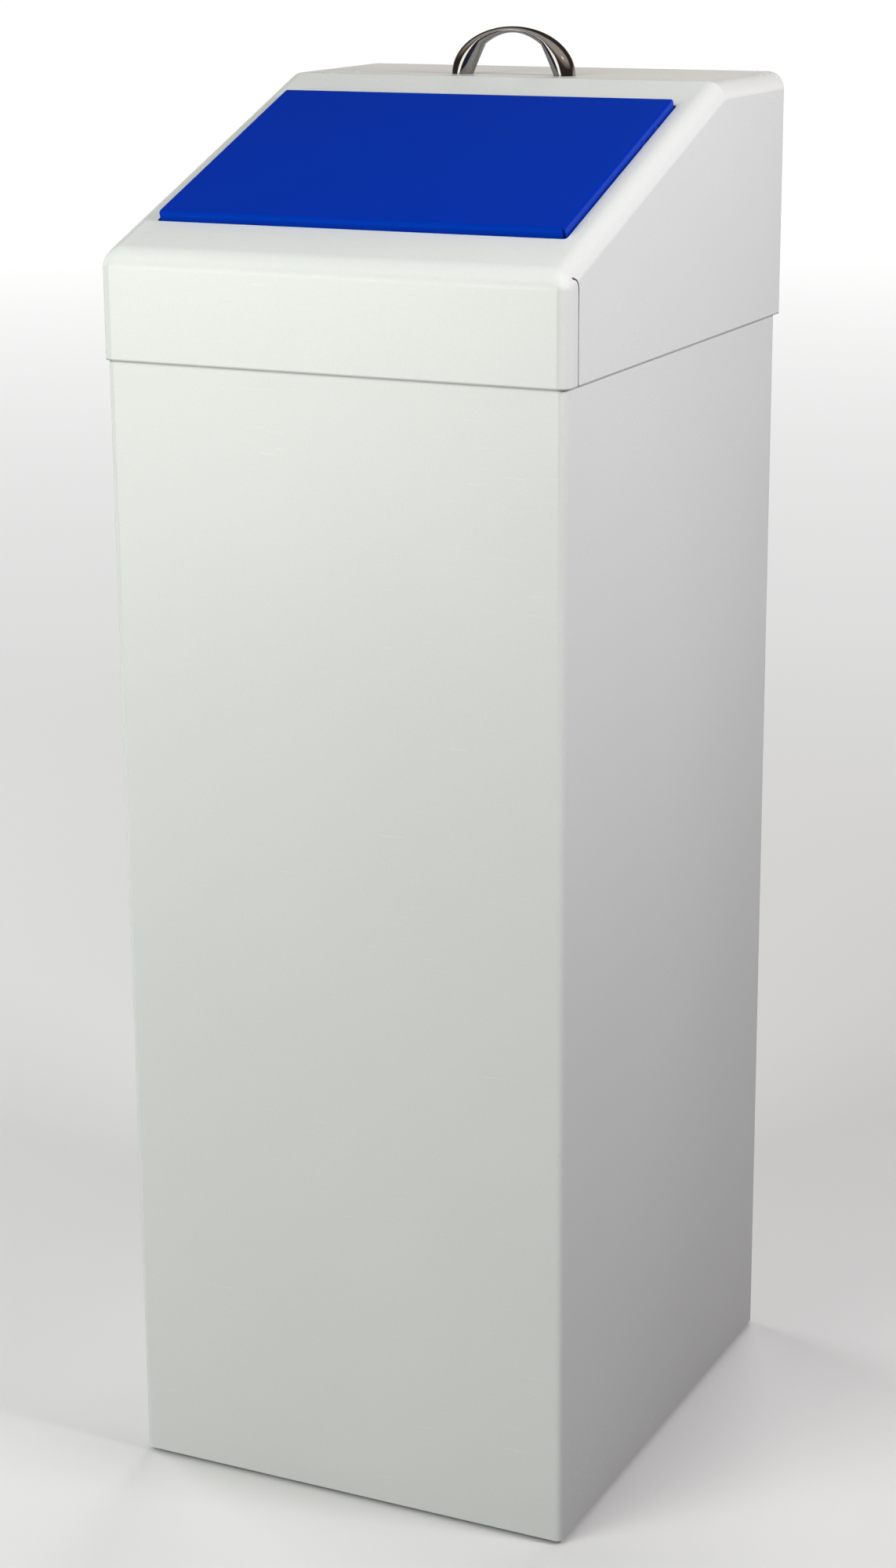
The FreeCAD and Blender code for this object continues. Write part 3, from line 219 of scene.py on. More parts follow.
def peel_group():
    """Orange peel of a powder coat: a normal, and slow changes of gloss and shade."""
    tree, given, result = new_group(
        "Orange peel", "ShaderNodeTree",
        [("Size", "NodeSocketFloat", 2 * MM), ("Height", "NodeSocketFloat", 0.01 * MM)],
        [("Normal", "NodeSocketVector"), ("Gloss", "NodeSocketFloat"), ("Shade", "NodeSocketFloat")])
    place = add(tree, "ShaderNodeTexCoord").outputs["Object"]
    scale = per_metre(tree, given.outputs["Size"])
    peel = noise(tree, place, scale, 1.5, 0.4)
    waves = noise(tree, place, 14, 1.0)
    height = plus(tree, peel, times(tree, waves, 6.0))
    bump = add(tree, "ShaderNodeBump", {
        "Height": height, "Distance": given.outputs["Height"], "Strength": 1.0})
    tree.links.new(bump.outputs["Normal"], result.inputs["Normal"])
    cloud = noise(tree, place, 9, 3)
    tree.links.new(share(tree, cloud, 0.3, 0.7, -1.0, 1.0), result.inputs["Gloss"])
    specks = share(tree, noise(tree, place, 700, 0.5), 0.35, 0.65, -1.0, 1.0)
    slow = share(tree, noise(tree, place, 5, 3), 0.35, 0.65, -1.0, 1.0)
    tree.links.new(plus(tree, times(tree, specks, 0.4), times(tree, slow, 0.6)), result.inputs["Shade"])
    return tree


def dust_group():
    """Mask of dust on faces that look up."""
    tree, given, result = new_group(
        "Dust", "ShaderNodeTree", [("Amount", "NodeSocketFloat", 0.3)], [("Mask", "NodeSocketFloat")])
    place = add(tree, "ShaderNodeTexCoord").outputs["Object"]
    facing = add(tree, "ShaderNodeSeparateXYZ", {0: add(tree, "ShaderNodeNewGeometry").outputs["Normal"]})
    upward = share(tree, facing.outputs["Z"], 0.5, 1.0, 0.0, 1.0)
    grain = share(tree, noise(tree, place, 260, 6, 0.7), 0.45, 0.75, 0.0, 1.0)
    mask = times(tree, times(tree, upward, grain), given.outputs["Amount"])
    tree.links.new(mask, result.inputs["Mask"])
    return tree


def scratch_group():
    """Mask of fine scratches: long thin noise in two directions."""
    tree, given, result = new_group(
        "Fine scratches", "ShaderNodeTree", [("Amount", "NodeSocketFloat", 0.5)],
        [("Mask", "NodeSocketFloat")])
    place = add(tree, "ShaderNodeTexCoord").outputs["Object"]
    total = None
    for turn, stretch in ((0.4, 26), (-0.9, 18)):
        mapping = add(tree, "ShaderNodeMapping", {
            "Vector": place, "Rotation": (turn, turn * 0.7, turn), "Scale": (1.0, stretch, stretch)})
        line = noise(tree, mapping.outputs["Vector"], 30, 3, 0.6)
        mask = share(tree, line, 0.66, 0.70, 0.0, 1.0)
        total = mask if total is None else plus(tree, total, mask)
    tree.links.new(times(tree, total, given.outputs["Amount"]), result.inputs["Mask"])
    return tree


def spangle_group():
    """Zinc crystals: a shade and a gloss for each flat grain."""
    tree, given, result = new_group(
        "Zinc spangle", "ShaderNodeTree", [("Size", "NodeSocketFloat", 9 * MM)],
        [("Shade", "NodeSocketFloat"), ("Gloss", "NodeSocketFloat"), ("Height", "NodeSocketFloat")])
    place = add(tree, "ShaderNodeTexCoord").outputs["Object"]
    scale = per_metre(tree, given.outputs["Size"])
    warp = add(tree, "ShaderNodeTexNoise", {"Vector": place, "Scale": 120, "Detail": 2.0})
    shift = add(tree, "ShaderNodeVectorMath", {0: warp.outputs["Color"], "Scale": 3 * MM}, operation="SCALE")
    moved = add(tree, "ShaderNodeVectorMath", {0: place, 1: shift.outputs[0]}, operation="ADD")
    cells = add(tree, "ShaderNodeTexVoronoi", {"Vector": moved.outputs[0], "Scale": scale}, feature="F1")
    parts = add(tree, "ShaderNodeSeparateColor", {0: cells.outputs["Color"]})
    tree.links.new(parts.outputs[0], result.inputs["Shade"])
    tree.links.new(parts.outputs[1], result.inputs["Gloss"])
    tree.links.new(noise(tree, place, 400, 3), result.inputs["Height"])
    return tree


def brushed_group():
    """Fine drawn lines along x."""
    tree, given, result = new_group(
        "Drawn lines", "ShaderNodeTree", [("Pitch", "NodeSocketFloat", 0.3 * MM)],
        [("Lines", "NodeSocketFloat"), ("Cloud", "NodeSocketFloat")])
    place = add(tree, "ShaderNodeTexCoord").outputs["Object"]
    scale = per_metre(tree, given.outputs["Pitch"])
    stretched = add(tree, "ShaderNodeMapping", {"Vector": place, "Scale": (0.02, 1.0, 1.0)})
    tree.links.new(noise(tree, stretched.outputs["Vector"], scale, 3), result.inputs["Lines"])
    tree.links.new(noise(tree, place, 60, 4), result.inputs["Cloud"])
    return tree


def rub_group():
    """Mask of a painted shadow: a thin dark line at the height of the hood's hem, standing in for the shade
    in the gap under the hem.
    """
    tree, given, result = new_group(
        "Painted hem shadow", "ShaderNodeTree", [("Height", "NodeSocketFloat", 0.6)], [("Mask", "NodeSocketFloat")])
    place = add(tree, "ShaderNodeSeparateXYZ", {0: add(tree, "ShaderNodeTexCoord").outputs["Object"]})
    above = add(tree, "ShaderNodeMath", {
        0: place.outputs["Z"], 1: given.outputs["Height"]}, operation="SUBTRACT")
    apart = add(tree, "ShaderNodeMath", {0: above.outputs[0]}, operation="ABSOLUTE")
    # Painted shadow: the mask is strongest within a millimetre of the hem's height.
    mask = share(tree, apart.outputs[0], 1.0 * MM, 0.4 * MM, 0.0, 0.7)
    tree.links.new(mask, result.inputs["Mask"])
    return tree


EFFECTS = {}


def effect(tree, name, **values):
    """Place a shared effect in a material with its own values."""
    made = tree.nodes.new("ShaderNodeGroup")
    made.node_tree = EFFECTS[name]
    for label, value in values.items():
        made.inputs[label.replace("_", " ").capitalize()].default_value = value
    return made


def new_material(name, **shader_values):
    """A material with one Principled shader and its plain values."""
    material = bpy.data.materials.new(name)
    material.use_nodes = True
    shader = material.node_tree.nodes["Principled BSDF"]
    for label, value in shader_values.items():
        shader.inputs[label.replace("_", " ")].default_value = value
    return material, material.node_tree, shader


def four(colour, factor=1.0):
    """A colour with alpha, made lighter or darker."""
    return tuple(min(channel * factor, 1.0) for channel in colour) + (1.0,)


# ------------------------------------------------------------------ materials


def coat_material(name, colour, settings, gloss, worn, dusty, specular, tint):
    """Powder coat: orange peel, slow changes of tone, dust above, darker worn edges, and a painted shadow
    line at the hood's hem.
    """
    material, tree, shader = new_material(name, IOR=1.5)
    peel = effect(tree, "peel", size=settings.peel_size, height=settings.peel_height)
    wear = effect(tree, "wear", radius=0.5 * MM, amount=worn)
    shader.inputs["Specular IOR Level"].default_value = specular
    shader.inputs["Specular Tint"].default_value = tint
    dust = effect(tree, "dust", amount=dusty)
    scratches = effect(tree, "scratch", amount=0.35)
    shade = share(tree, peel.outputs["Shade"], -1.0, 1.0, 0.0, 1.0)
    base = blend_colours(tree, shade, four(colour, 0.975), four(colour, 1.02))
    worn_colour = blend_colours(tree, wear.outputs["Mask"], base, four(colour, 0.72))
    dusted = blend_colours(tree, dust.outputs["Mask"], worn_colour, (0.55, 0.53, 0.50, 1.0))
    # Painted shadow: a dark line in the coat at the hem's height, where the gap under the hood's hem is
    # shaded.
    rubbed = effect(tree, "rub", height=HEM_HEIGHT)
    final = blend_colours(tree, rubbed.outputs["Mask"], dusted, four(colour, 0.34))
    tree.links.new(final, shader.inputs["Base Color"])
    rough = share(tree, peel.outputs["Gloss"], -1.0, 1.0, gloss - 0.03, gloss + 0.03)
    rough = plus(tree, rough, times(tree, scratches.outputs["Mask"], 0.08))
    rough = plus(tree, rough, times(tree, dust.outputs["Mask"], 0.6))
    tree.links.new(rough, shader.inputs["Roughness"])
    tree.links.new(peel.outputs["Normal"], shader.inputs["Normal"])
    return material


def chrome_material():
    """Polished chrome with a faint grain and fine scratches."""
    material, tree, shader = new_material("Chrome", Metallic=1.0)
    scratches = effect(tree, "scratch", amount=0.6)
    drawn = effect(tree, "drawn", pitch=0.6 * MM)
    base = blend_colours(tree, drawn.outputs["Cloud"], (0.27, 0.265, 0.25, 1.0), (0.34, 0.33, 0.31, 1.0))
    tree.links.new(base, shader.inputs["Base Color"])
    rough = share(tree, drawn.outputs["Cloud"], 0.3, 0.7, 0.05, 0.10)
    rough = plus(tree, rough, times(tree, scratches.outputs["Mask"], 0.12))
    tree.links.new(rough, shader.inputs["Roughness"])
    bump = add(tree, "ShaderNodeBump", {
        "Height": scratches.outputs["Mask"], "Distance": 0.01 * MM, "Strength": 0.3})
    tree.links.new(bump.outputs["Normal"], shader.inputs["Normal"])
    return material


def galvanised_material():
    """Hot-dipped sheet: zinc grains that differ in shade and gloss."""
    material, tree, shader = new_material("Galvanised", Metallic=0.9)
    spangle = effect(tree, "spangle", size=9 * MM)
    wear = effect(tree, "wear", radius=0.5 * MM, amount=0.8)
    base = blend_colours(tree, spangle.outputs["Shade"], (0.40, 0.42, 0.44, 1.0), (0.60, 0.62, 0.64, 1.0))
    base = blend_colours(tree, wear.outputs["Mask"], base, (0.72, 0.72, 0.73, 1.0))
    tree.links.new(base, shader.inputs["Base Color"])
    rough = share(tree, spangle.outputs["Gloss"], 0.0, 1.0, 0.30, 0.52)
    tree.links.new(rough, shader.inputs["Roughness"])
    bump = add(tree, "ShaderNodeBump", {
        "Height": spangle.outputs["Height"], "Distance": 0.02 * MM, "Strength": 0.5})
    tree.links.new(bump.outputs["Normal"], shader.inputs["Normal"])
    return material


def zinc_material():
    """Bright zinc plate on small fasteners."""
    material, tree, shader = new_material("Zinc plate", Metallic=1.0)
    drawn = effect(tree, "drawn", pitch=0.25 * MM)
    wear = effect(tree, "wear", radius=0.25 * MM, amount=1.0)
    base = blend_colours(tree, drawn.outputs["Cloud"], (0.52, 0.52, 0.50, 1.0), (0.68, 0.68, 0.64, 1.0))
    base = blend_colours(tree, wear.outputs["Mask"], base, (0.80, 0.80, 0.78, 1.0))
    tree.links.new(base, shader.inputs["Base Color"])
    rough = share(tree, drawn.outputs["Lines"], 0.3, 0.7, 0.22, 0.40)
    tree.links.new(rough, shader.inputs["Roughness"])
    bump = add(tree, "ShaderNodeBump", {
        "Height": drawn.outputs["Lines"], "Distance": 0.01 * MM, "Strength": 0.6})
    tree.links.new(bump.outputs["Normal"], shader.inputs["Normal"])
    return material


def moulded_material(name, dark, light, rough_low, rough_high, grain):
    """Moulded rubber or plastic with a fine grain."""
    material, tree, shader = new_material(name)
    peel = effect(tree, "peel", size=grain, height=0.03 * MM)
    wear = effect(tree, "wear", radius=0.4 * MM, amount=0.6)
    dust = effect(tree, "dust", amount=0.3)
    shade = share(tree, peel.outputs["Shade"], -1.0, 1.0, 0.0, 1.0)
    base = blend_colours(tree, shade, dark, light)
    base = blend_colours(tree, wear.outputs["Mask"], base, four(light[:3], 1.6))
    base = blend_colours(tree, dust.outputs["Mask"], base, (0.40, 0.38, 0.35, 1.0))
    tree.links.new(base, shader.inputs["Base Color"])
    rough = share(tree, peel.outputs["Gloss"], -1.0, 1.0, rough_low, rough_high)
    tree.links.new(rough, shader.inputs["Roughness"])
    tree.links.new(peel.outputs["Normal"], shader.inputs["Normal"])
    return material


def floor_material():
    """Plain pale floor: it throws back less light than it shows, and glows far from the object."""
    material, tree, shader = new_material("Pale floor", Roughness=0.7)
    seen = add(tree, "ShaderNodeLightPath").outputs["Is Camera Ray"]
    place = add(tree, "ShaderNodeTexCoord").outputs["Object"]
    away = add(tree, "ShaderNodeVectorMath", {0: place}, operation="LENGTH")
    near = share(tree, away.outputs["Value"], 0.6, 2.0, 0.0, 1.0)
    far = share(tree, away.outputs["Value"], 2.0, 6.0, 0.0, 0.30)
    shown = blend_colours(tree, near, (0.72, 0.72, 0.72, 1.0), (0.04, 0.04, 0.04, 1.0))
    base = blend_colours(tree, seen, (0.22, 0.21, 0.23, 1.0), shown)
    tree.links.new(base, shader.inputs["Base Color"])
    shader.inputs["Emission Color"].default_value = WHITE
    glow = plus(tree, share(tree, near, 0.0, 1.0, 0.04, 0.68), far)
    tree.links.new(times(tree, seen, glow), shader.inputs["Emission Strength"])
    return material


def build_finishes(settings):
    """Every finish of the object, by its slot."""
    EFFECTS.update(
        wear=edge_wear_group(), peel=peel_group(), dust=dust_group(), scratch=scratch_group(),
        spangle=spangle_group(), drawn=brushed_group(), rub=rub_group())
    return {
        "white_coat": coat_material(
            "White coat", settings.white, settings, gloss=0.24, worn=0.35, dusty=0.06, specular=0.5,
            tint=WHITE),
        "blue_coat": coat_material(
            "Blue coat", settings.blue, settings, gloss=0.38, worn=0.15, dusty=0.0, specular=0.16,
            tint=(0.0, 0.3, 1.0, 1.0)),
        "chrome": chrome_material(),
        "galvanised": galvanised_material(),
        "zinc_steel": zinc_material(),
        "rubber": moulded_material(
            "Rubber", (0.018, 0.018, 0.018, 1.0), (0.035, 0.035, 0.035, 1.0), 0.62, 0.80, 1.2 * MM),
        "nylon": moulded_material(
            "Nylon", (0.72, 0.70, 0.62, 1.0), (0.80, 0.78, 0.70, 1.0), 0.38, 0.50, 1.5 * MM),
        "trim_plastic": moulded_material(
            "Edging", (0.02, 0.02, 0.022, 1.0), (0.04, 0.04, 0.042, 1.0), 0.42, 0.55, 0.8 * MM),
    }


FINISHES = {}


# ------------------------------------------------------------------ operators


class DROPBOX_OT_finish_sheets(bpy.types.Operator):
    """Give every carried-over part its own finish"""

    bl_idname = "dropbox.finish_sheets"
    bl_label = "Finish the parts"

    def execute(self, context):
        FINISHES.update(build_finishes(context.scene.dropbox_coat))
        for row in frame["record"]["subparts"]:
            part = frame["nodes"][row["node"]]
            part.data.materials.clear()
            part.data.materials.append(FINISHES[row["material_slot"]])
        return {"FINISHED"}


# ------------------------------------------------------------------ mesh helpers


def link(piece):
    """Put an object in the scene."""
    bpy.context.scene.collection.objects.link(piece)
    return piece


def to_piece(name, form, material, sharp=32):
    """Turn a bmesh into an object: closed seams, faces outward, smooth but for sharp edges."""
    bmesh.ops.remove_doubles(form, verts=form.verts, dist=1e-7)
    bmesh.ops.recalc_face_normals(form, faces=form.faces)
    for face in form.faces:
        face.smooth = True
    for edge in form.edges:
        if len(edge.link_faces) == 2 and edge.calc_face_angle() > math.radians(sharp):
            edge.smooth = False
    mesh = bpy.data.meshes.new(name)
    form.to_mesh(mesh)
    form.free()
    mesh.materials.append(material)
    return link(bpy.data.objects.new(name, mesh))


def declare(piece, body, slot, *nodes):
    """Parent a piece to its body's empty and hide the carried-over nodes it stands in for; the slot is not
    used.
    """
    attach(piece, body)
    if nodes:
        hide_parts(*nodes)


def soften(points, radius, steps=4):
    """Round the inner corners of an open line of points in a plane."""
    result = [points[0]]
    for before, corner, after in zip(points, points[1:], points[2:]):
        here = Vector(corner)
        arms = [Vector(before) - here, Vector(after) - here]
        start, end = (here + arm.normalized() * min(radius, arm.length * 0.45) for arm in arms)
        for step in range(steps + 1):
            share_along = step / steps
            first = start.lerp(here, share_along)
            second = here.lerp(end, share_along)
            result.append(tuple(first.lerp(second, share_along)))
    result.append(points[-1])
    return result


def bridge(form, low, high):
    """Faces between two closed rings; a ring of one point closes to a tip."""
    count = max(len(low), len(high))
    for index in range(count):
        after = (index + 1) % count
        corners = [low[index % len(low)], low[after % len(low)],
                   high[after % len(high)], high[index % len(high)]]
        form.faces.new(list(dict.fromkeys(corners)))


def hexagon(angle):
    """Radius factor of a hexagon that is measured across its flats."""
    return 1 / math.cos(angle % (math.pi / 3) - math.pi / 6)


def cross(angle):
    """Radius factor of a cross recess."""
    narrow = min(abs(math.sin(angle)), abs(math.cos(angle)))
    return min(1.0, 0.22 / max(narrow, 1e-6))


def turned(form, profile, turns=48, shapes=None, place=Matrix()):
    """Add a turned form; profile points are radius and height, and shapes bends chosen rings."""
    rings = []
    for index, (radius, height) in enumerate(profile):
        if radius < 1e-7:
            rings.append([form.verts.new(place @ Vector((0, 0, height)))])
            continue
        bend = (shapes or {}).get(index)
        ring = []
        for turn in range(turns):
            angle = FULL_TURN * turn / turns
            reach = radius * (bend(angle) if bend else 1)
            point = Vector((reach * math.cos(angle), reach * math.sin(angle), height))
            ring.append(form.verts.new(place @ point))
        rings.append(ring)
    for low, high in zip(rings, rings[1:]):
        bridge(form, low, high)
    return rings


def middle_of(low, high):
    """Middle of a box."""
    return (Vector(low) + Vector(high)) / 2


# ------------------------------------------------------------------ copies


def copies_tree():
    """Node tree that puts one shape on each point, turned to the point's heading."""
    tree, given, result = new_group(
        "Copies on spots", "GeometryNodeTree",
        [("Geometry", "NodeSocketGeometry", None), ("Shape", "NodeSocketObject", None),
         ("Turn", "NodeSocketFloat", FULL_TURN), ("Seed", "NodeSocketInt", 3),
         ("Finish", "NodeSocketMaterial", None)],
        [("Geometry", "NodeSocketGeometry")])
    shape = add(tree, "GeometryNodeObjectInfo", {"Object": given.outputs["Shape"]})
    heading = add(tree, "GeometryNodeInputNamedAttribute", {"Name": "heading"}, data_type="FLOAT_VECTOR")
    aligned = add(tree, "FunctionNodeAlignRotationToVector", {
        "Vector": heading.outputs["Attribute"]}, axis="Z")
    chance = add(tree, "FunctionNodeRandomValue", {"Seed": given.outputs["Seed"]}, data_type="FLOAT")
    chance.inputs[2].default_value = 0.0
    tree.links.new(given.outputs["Turn"], chance.inputs[3])
    spin = add(tree, "FunctionNodeAxisAngleToRotation", {"Axis": (0, 0, 1), "Angle": chance.outputs[1]})
    turn = add(tree, "FunctionNodeRotateRotation", {
        "Rotation": aligned.outputs["Rotation"], "Rotate By": spin.outputs["Rotation"]},
        rotation_space="LOCAL")
    spread = add(tree, "GeometryNodeInstanceOnPoints", {
        "Points": given.outputs["Geometry"], "Instance": shape.outputs["Geometry"],
        "Rotation": turn.outputs["Rotation"]})
    real = add(tree, "GeometryNodeRealizeInstances", {"Geometry": spread.outputs["Instances"]})
    finish = add(tree, "GeometryNodeSetMaterial", {
        "Geometry": real.outputs["Geometry"], "Material": given.outputs["Finish"]})
    tree.links.new(finish.outputs["Geometry"], result.inputs["Geometry"])
    return tree


def copies(name, shape, spots, finish, turn=FULL_TURN, seed=3):
    """One plain mesh of a shape's copies; a spot is a place and a heading."""
    tree = bpy.data.node_groups.get("Copies on spots") or copies_tree()
    points = bpy.data.meshes.new(f"{name}_spots")
    points.from_pydata([tuple(spot) for spot, _ in spots], [], [])
    headings = points.attributes.new("heading", "FLOAT_VECTOR", "POINT")
    for row, (_, axis) in zip(headings.data, spots):
        row.vector = axis
    carrier = link(bpy.data.objects.new(f"{name}_carrier", points))
    modifier = carrier.modifiers.new("Copies", "NODES")
    modifier.node_group = tree
    sockets = {item.name: item.identifier for item in tree.interface.items_tree if item.in_out == "INPUT"}
    for label, value in (("Shape", shape), ("Turn", turn), ("Seed", seed), ("Finish", finish)):
        modifier[sockets[label]] = value
    carrier.update_tag()
    bpy.context.view_layer.update()
    graph = bpy.context.evaluated_depsgraph_get()
    mesh = bpy.data.meshes.new_from_object(carrier.evaluated_get(graph))
    mesh.name = name
    bpy.data.objects.remove(carrier)
    bpy.data.objects.remove(shape)
    return link(bpy.data.objects.new(name, mesh))


# ------------------------------------------------------------------ handle


class DROPBOX_OT_bow_handle(bpy.types.Operator):
    """Build the chrome bow handle with its flared legs"""

    bl_idname = "dropbox.bow_handle"
    bl_label = "Bow handle"

    def execute(self, context):
        form = bmesh.new()
        sections = bow_rings(context.scene.dropbox_handle)
        rings = [[form.verts.new(point) for point in ring] for ring in sections]
        for low, high in zip(rings, rings[1:]):
            bridge(form, low, high)
        for ring in (rings[0], rings[-1]):
            tip = form.verts.new(sum((vert.co for vert in ring), Vector()) / len(ring))
            bridge(form, ring, [tip])
        piece = to_piece("bow_handle", form, FINISHES["chrome"], sharp=17)
        declare(piece, "hood", "chrome", "handle")
        return {"FINISHED"}


SHOULDER = (0.47, 0.62)  # where leg and crown meet, as shares of half the span and of the rise
FLARE = 1.6  # how late the bow widens towards its feet
RING_POINTS = 40


def bow_rings(settings):
    """Sections of the bow, each in a plane through the line between its feet."""
    middle = middle_of(HANDLE_LOW, HANDLE_HIGH)
    half_span = (HANDLE_HIGH[0] - HANDLE_LOW[0]) / 2
    rise = HANDLE_HIGH[2] - HANDLE_LOW[2]
    shoulder = Vector((SHOULDER[0] * half_span, SHOULDER[1] * rise))
    inner_foot = Vector((half_span - settings.foot, 0))
    under = rise - settings.crown_height
    bend = math.atan2(shoulder.y, shoulder.x)
    count = settings.stations // 4
    leg = [bend * step / count for step in range(count)]
    crown = [bend + (math.pi - 2 * bend) * step / (2 * count) for step in range(2 * count)]
    angles = leg + crown + [math.pi - angle for angle in reversed(leg + [bend])]
    for angle in angles:
        side = Vector((abs(math.cos(angle)), math.sin(angle)))
        outer = 1 / math.hypot(side.x / half_span, side.y / rise)
        if side.y * shoulder.x < shoulder.y * side.x:
            along = shoulder - inner_foot
            inner = inner_foot.cross(along) / side.cross(along)
        else:
            sag = (under - shoulder.y) / shoulder.x ** 2 * max(side.x, 1e-4) ** 2
            inner = (math.sqrt(side.y ** 2 + 4 * sag * under) - side.y) / (2 * sag)
        depth = (settings.crown_depth + (settings.foot - settings.crown_depth) * side.x ** FLARE) / 2
        reach = (outer - inner) / 2
        centre = (outer + inner) / 2
        ring = []
        for point in range(RING_POINTS):
            around = FULL_TURN * point / RING_POINTS
            radial = centre + reach * math.cos(around)
            ring.append(Vector((
                middle.x + radial * math.cos(angle), middle.y + depth * math.sin(around),
                HANDLE_LOW[2] + radial * side.y)))
        yield ring


# ------------------------------------------------------------------ small hardware


class DROPBOX_OT_screws(bpy.types.Operator):
    """Build the screws of the feet, the handle and the balance bar, and the nuts"""

    bl_idname = "dropbox.screws"
    bl_label = "Screws and nuts"

    def execute(self, context):
        zinc = FINISHES["zinc_steel"]
        low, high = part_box("foot_screws")
        head = (BAR_SCREW_HIGH[2] - BAR_SCREW_LOW[2]) / 2
        level = low[2] + head * HEAD_RATIO
        spots = corner_spots(low, high, head, level)
        piece = copies("foot_screw_set", screw("foot_screw", head, high[2] - level, hexagon), spots, zinc)
        declare(piece, "cabinet", "zinc_steel", "foot_screws")

        low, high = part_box("foot_nuts")
        reach = high[0] - max(spot.x for spot, _ in spots)
        nuts = [(Vector((spot.x, spot.y, low[2])), axis) for spot, axis in spots]
        shape = nut("foot_nut", reach * math.cos(math.pi / 6), high[2] - low[2])
        piece = copies("foot_nut_set", shape, nuts, zinc, 0)
        declare(piece, "cabinet", "zinc_steel", "foot_nuts")

        low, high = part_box("handle_screws")
        small = (high[1] - low[1]) / 2
        level = low[2] + small * HEAD_RATIO
        spots = [(Vector((x, (low[1] + high[1]) / 2, level)), (0, 0, 1))
                 for x in (low[0] + small, high[0] - small)]
        shape = screw("handle_screw", small, high[2] - level, cross)
        piece = copies("handle_screw_set", shape, spots, zinc, seed=5)
        declare(piece, "hood", "zinc_steel", "handle_screws")

        middle = middle_of(BAR_SCREW_LOW, BAR_SCREW_HIGH)
        seat = BAR_SCREW_HIGH[0] - head * HEAD_RATIO
        spots = [(Vector((side * seat, middle.y, middle.z)), (-side, 0, 0)) for side in SIDES]
        shape = screw("bar_screw", head, BAR_SCREW_LENGTH, hexagon)
        piece = copies("bar_screw_set", shape, spots, zinc, seed=7)
        declare(piece, "flap", "zinc_steel", "balance_bar_screws")
        return {"FINISHED"}


HEAD_TO_SHANK = 1.9  # head's radius to the shank's
HEAD_RATIO = 1.1 / HEAD_TO_SHANK  # head's height to its radius
HEXAGON_KEY, CROSS_KEY = 0.42, 0.62  # recess to head
THREAD_PITCH = 0.8 * MM
THREAD_ROOT = 0.86  # root's radius to the shank's
BAR_SCREW_LENGTH = 11.5 * MM


def corner_spots(low, high, inset, level):
    """Four spots at the corners of a box, pointing up."""
    return [(Vector((x, y, level)), (0, 0, 1)) for x in (low[0] + inset, high[0] - inset)
            for y in (low[1] + inset, high[1] - inset)]


def screw(name, head, length, recess):
    """Round-headed screw along z, its head below the origin, with a driver's recess and rolled thread."""
    shank = head / HEAD_TO_SHANK
    root = shank * THREAD_ROOT
    tall = head * HEAD_RATIO
    key = head * (HEXAGON_KEY if recess is hexagon else CROSS_KEY)
    socket = [(0, -tall * 0.35), (key * 0.2, -tall * 0.38), (key, -tall * 0.42), (key, -tall * 0.93),
              (key * 1.06, -tall * 0.99)]
    dome = [(key * 1.18, -tall * 0.98), (head * 0.72, -tall * 0.9), (head * 0.9, -tall * 0.62),
            (head, -tall * 0.3), (head, -tall * 0.06), (head * 0.97, 0), (shank, 0)]
    profile = socket + dome
    for index in range(int((length - THREAD_PITCH) / THREAD_PITCH)):
        start = THREAD_PITCH * 0.5 + index * THREAD_PITCH
        profile += [(root, start), (shank, start + THREAD_PITCH * 0.5)]
    profile += [(root, length - 0.4 * MM), (shank * 0.7, length), (0, length)]
    form = bmesh.new()
    turned(form, profile, 48, {index: recess for index in (1, 2, 3, 4)})
    return to_piece(name, form, FINISHES["zinc_steel"])


def nut(name, flat, height):
    """Hexagon nut along z with turned chamfers."""
    bore = flat * 0.62
    rings = [(bore * 1.12, 0), (flat * 0.97, 0), (flat, height * 0.10), (flat, height * 0.88),
             (flat * 0.96, height), (bore * 1.12, height), (bore, height * 0.9), (bore, height * 0.1)]
    form = bmesh.new()
    made = turned(form, rings, 48, {2: hexagon, 3: hexagon})
    bridge(form, made[-1], made[0])
    return to_piece(name, form, FINISHES["zinc_steel"])


class DROPBOX_OT_rod_ends(bpy.types.Operator):
    """Build the toothed push-on clips of the rod and the rivets of the arms"""

    bl_idname = "dropbox.rod_ends"
    bl_label = "Clips and rivets"

    def execute(self, context):
        zinc = FINISHES["zinc_steel"]
        low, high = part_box("rod_clips")
        rim = (high[1] - low[1]) / 2
        middle = middle_of(low, high)
        seat = high[0] - CLIP_HEIGHT
        spots = [(Vector((side * seat, middle.y, middle.z)), (side, 0, 0)) for side in SIDES]
        piece = copies("rod_clip_set", clip("rod_clip", rim, CLIP_HEIGHT), spots, zinc, 0)
        declare(piece, "flap", "zinc_steel", "rod_clips")

        low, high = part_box("arm_rivets")
        seat = high[0] - RIVET_LENGTH
        ends = ((low[1] + RIVET_RIM, low[2] + RIVET_RIM), (high[1] - RIVET_RIM, high[2] - RIVET_RIM))
        spots = [(Vector((side * seat, y, z)), (side, 0, 0)) for side in SIDES for y, z in ends]
        shape = rivet("arm_rivet", RIVET_RIM, RIVET_LENGTH)
        piece = copies("arm_rivet_set", shape, spots, FINISHES["blue_coat"])
        declare(piece, "flap", "blue_coat", "arm_rivets")
        return {"FINISHED"}


CLIP_TEETH = 6
CLIP_HEIGHT = 1.4 * MM
RIVET_RIM = 3.4 * MM
RIVET_LENGTH = 4.4 * MM


